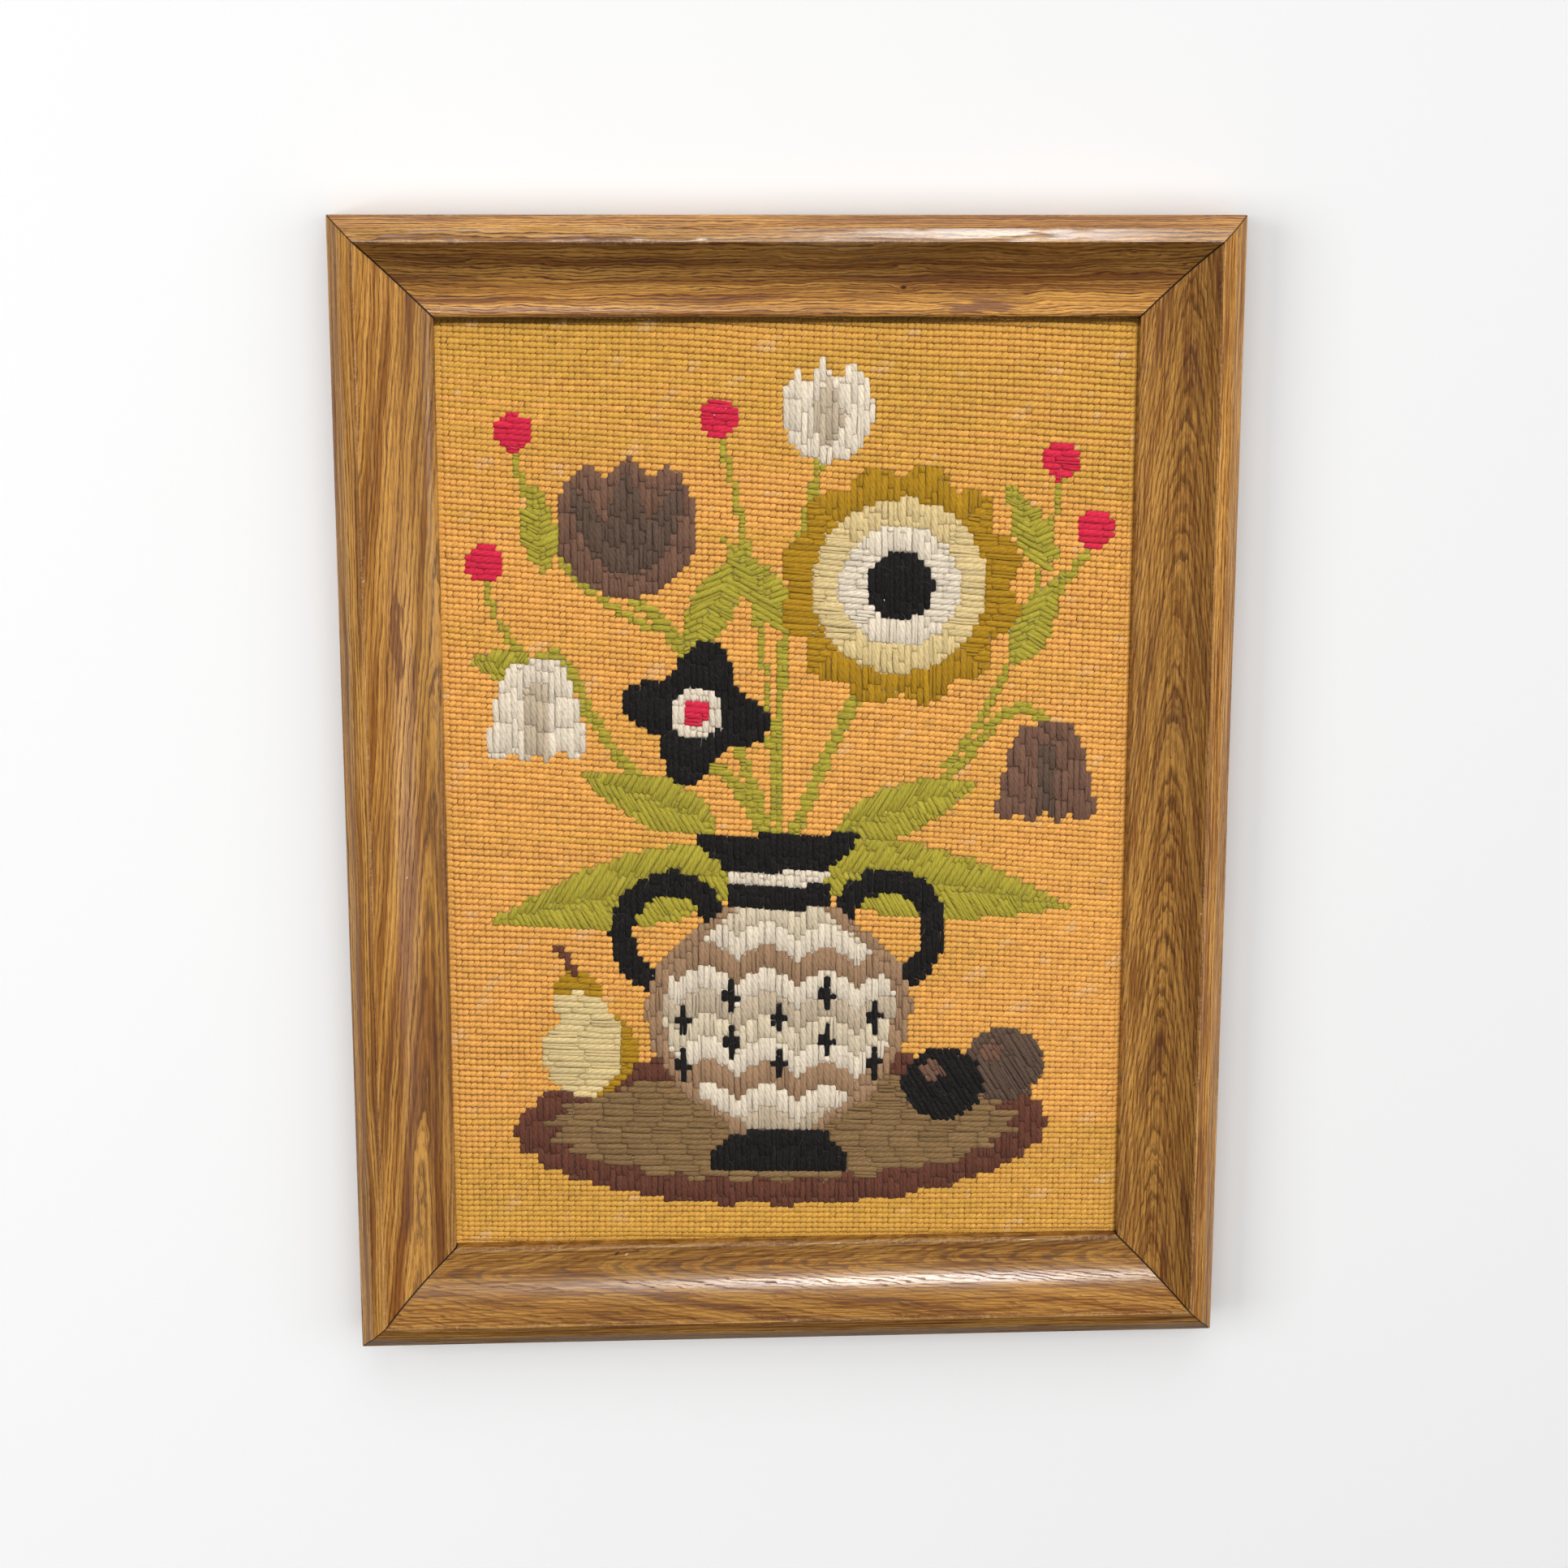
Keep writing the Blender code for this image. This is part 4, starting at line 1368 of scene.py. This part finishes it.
class PICTURE_OT_shape_frame(bpy.types.Operator):
    """Shapes the four mitred rails of the oak frame; the lower one's side is duller, and darker as painted
    shade
    """

    bl_idname = "picture.shape_frame"
    bl_label = "Oak frame"

    def execute(self, context):
        moulding = context.scene.picture_moulding
        timbers = {
            "rail_top": ((0, 1), Timber(
                along="x", centre=150, lean=0.03, point_spacing=45, line_spacing=1.25, roundness=4, sway=4.2,
                quiver=1.15, seed=4, tone=1.06, hollow=0.98, fade=0.32, bold=1.0, banding=1.0, gloss=0.65,
                rim=0.76, knot=(45.5, 207.4), plume=(78, 199.5, 20), marks=(Mark(-148, 201, 1.0, True),))),
            "rail_bottom": ((0, -1), Timber(
                along="x", centre=-205, lean=0.012, point_spacing=-11, line_spacing=1.5, roundness=3.5,
                sway=2.8, quiver=1.1, seed=12, tone=0.86, hollow=0.94, fade=-0.06, bold=0.70, banding=0.6,
                gloss=0.24, marks=(Mark(-73.6, -199.4, 2.2, False), Mark(-69.5, -199.8, 1.2, True),
                                   Mark(173.4, -198.9, 1.0, False)))),
            "rail_left": ((-1, 0), Timber(
                along="y", centre=-147, lean=0.050, point_spacing=52, line_spacing=1.6, roundness=3.5,
                sway=1.7, quiver=0.50, seed=23, tone=1.02, hollow=0.92, fade=-0.12, bold=0.85, banding=1.2,
                gloss=0.38, plume=(67, -159.6, 24), marks=(Mark(92.5, -171, 0.9, True),
                                                           Mark(-32, -158, 0.8, True)))),
            "rail_right": ((1, 0), Timber(
                along="y", centre=158.7, lean=0.012, point_spacing=11.5, line_spacing=1.3, roundness=6.0,
                sway=0.9, quiver=1.0, seed=37, tone=1.05, hollow=0.86, fade=0.07, bold=0.80, banding=0.5,
                gloss=0.30, rim=1.12, marks=(Mark(-123.4, 170.5, 1.1, False), Mark(-10.3, 180, 1.0, False),
                                             Mark(-49, 170.8, 0.9, True)))),
        }
        for number, (name, (outward, timber)) in enumerate(timbers.items()):
            finish, dull_shaded_finish, inner_wear = oak_finish("oak_" + name, timber), None, 0.5
            if name == "rail_bottom":
                # Painted shade: the lower rail's side and outermost facet take a tone darker by 0.85, with less
                # gloss.
                dull = timber._replace(gloss=0.05, tone=timber.tone * 0.85)
                dull_shaded_finish, inner_wear = oak_finish("dull_oak_" + name, dull), 0.95
            shape_rail(moulding, name, outward, 50 + number, finish, dull_shaded_finish, inner_wear)
        return {"FINISHED"}


class PICTURE_OT_finish_board(bpy.types.Operator):
    """Gives the backing board its pressed wood finish"""

    bl_idname = "picture.finish_board"
    bl_label = "Backing board"

    def execute(self, context):
        finish = board_finish()
        for slot in frame["nodes"]["backing_board"].material_slots:
            slot.material = finish
        return {"FINISHED"}


class PICTURE_OT_set_stage(bpy.types.Operator):
    """Sets the pale floor, the soft lights and the camera"""

    bl_idname = "picture.set_stage"
    bl_label = "Stage"

    def execute(self, context):
        scene = context.scene
        stage = scene.picture_stage
        finish = Finish("pale_floor")
        finish.set(Base_Color=stage.floor_colour, Roughness=0.85, Specular_IOR_Level=0.1)
        mesh = bpy.data.meshes.new("floor")
        mesh.from_pydata([(-8, -8, 0), (8, -8, 0), (8, 8, 0), (-8, 8, 0)], [], [(0, 1, 2, 3)])
        mesh.materials.append(finish.material)
        floor = bpy.data.objects.new("floor", mesh)
        scene.collection.objects.link(floor)
        middle = (0.0, 0.0, 0.0)
        beside = stage.floor_side_power

        # A lamp's name, place, aim, width and depth, power, the rails it leaves out, and any turn in degrees
        for name, place, aim, size, strength, unlit, *turn in (
            ("window_box", (0.41, 1.93, 3.0), middle, (0.72, 0.50), stage.window_power, ()),
            ("far_window_box", (0.24, 1.13, 0.80), (0.10, 0.22, 0.03), (0.18, 0.09), stage.far_power,
             ("rail_bottom",)),
            ("side_window_box", (1.27, -0.42, 1.20), (-0.155, -0.03, 0.02), (0.33, 0.90), stage.side_power,
             ()),
            ("top_box", (-0.05, -0.08, 1.45), (-0.05, -0.08, 0.0), (0.50, 0.06), stage.top_power,
             ("rail_bottom", "rail_right"), 47.6),
        ):
            lamp = add_softbox(scene, name, place, aim, size, strength, *turn)
            share_light(lamp, [floor] + [scene.objects[rail + "_moulding"] for rail in unlit], "EXCLUDE")

        # Lamps that light the floor alone
        for name, place, aim, size, strength in (
            ("floor_box", (0.10, 0.0, 2.10), (0.10, 0.0, 0.0), (2.20, 2.20), stage.floor_power),
            ("floor_left_box", (-1.80, 0.20, 1.60), middle, (1.60, 1.20), beside),
            ("floor_far_box", (0.0, 1.90, 1.60), middle, (1.60, 1.20), beside * 0.42),
            ("floor_right_box", (1.80, 0.20, 1.60), middle, (1.60, 1.20), beside * 0.3),
        ):
            share_light(add_softbox(scene, name, place, aim, size, strength), [floor], "INCLUDE")
        scene.world = light_room(stage.room_light)
        scene.view_settings.view_transform = "Standard"
        add_camera(scene, stage.lens)
        return {"FINISHED"}


class PICTURE_PT_panel(bpy.types.Panel):
    """Lists the steps that make the picture"""

    bl_idname = "PICTURE_PT_panel"
    bl_label = "Framed picture"
    bl_space_type = "VIEW_3D"
    bl_region_type = "UI"
    bl_category = "Picture"

    def draw(self, context):
        for step in STEPS:
            self.layout.operator(step.bl_idname)


STEPS = (
    PICTURE_OT_lay_canvas,
    PICTURE_OT_work_ground,
    PICTURE_OT_work_motifs,
    PICTURE_OT_raise_fibres,
    PICTURE_OT_stretch_canvas,
    PICTURE_OT_shape_frame,
    PICTURE_OT_finish_board,
    PICTURE_OT_set_stage,
)
SETTINGS = {
    "picture_moulding": MouldingSettings,
    "picture_stitches": StitchSettings,
    "picture_wools": WoolColours,
    "picture_stage": StageSettings,
}


def register():
    for name, group in SETTINGS.items():
        bpy.utils.register_class(group)
        setattr(bpy.types.Scene, name, PointerProperty(type=group))
    for step in (*STEPS, PICTURE_PT_panel):
        bpy.utils.register_class(step)


def unregister():
    for step in reversed((*STEPS, PICTURE_PT_panel)):
        bpy.utils.unregister_class(step)
    for name, group in reversed(SETTINGS.items()):
        delattr(bpy.types.Scene, name)
        bpy.utils.unregister_class(group)


def main():
    register()
    bpy.ops.picture.lay_canvas()
    bpy.ops.picture.work_ground()
    bpy.ops.picture.work_motifs()
    bpy.ops.picture.raise_fibres()
    bpy.ops.picture.stretch_canvas()
    bpy.ops.picture.shape_frame()
    bpy.ops.picture.finish_board()
    bpy.ops.picture.set_stage()


if __name__ == "__main__":
    main()
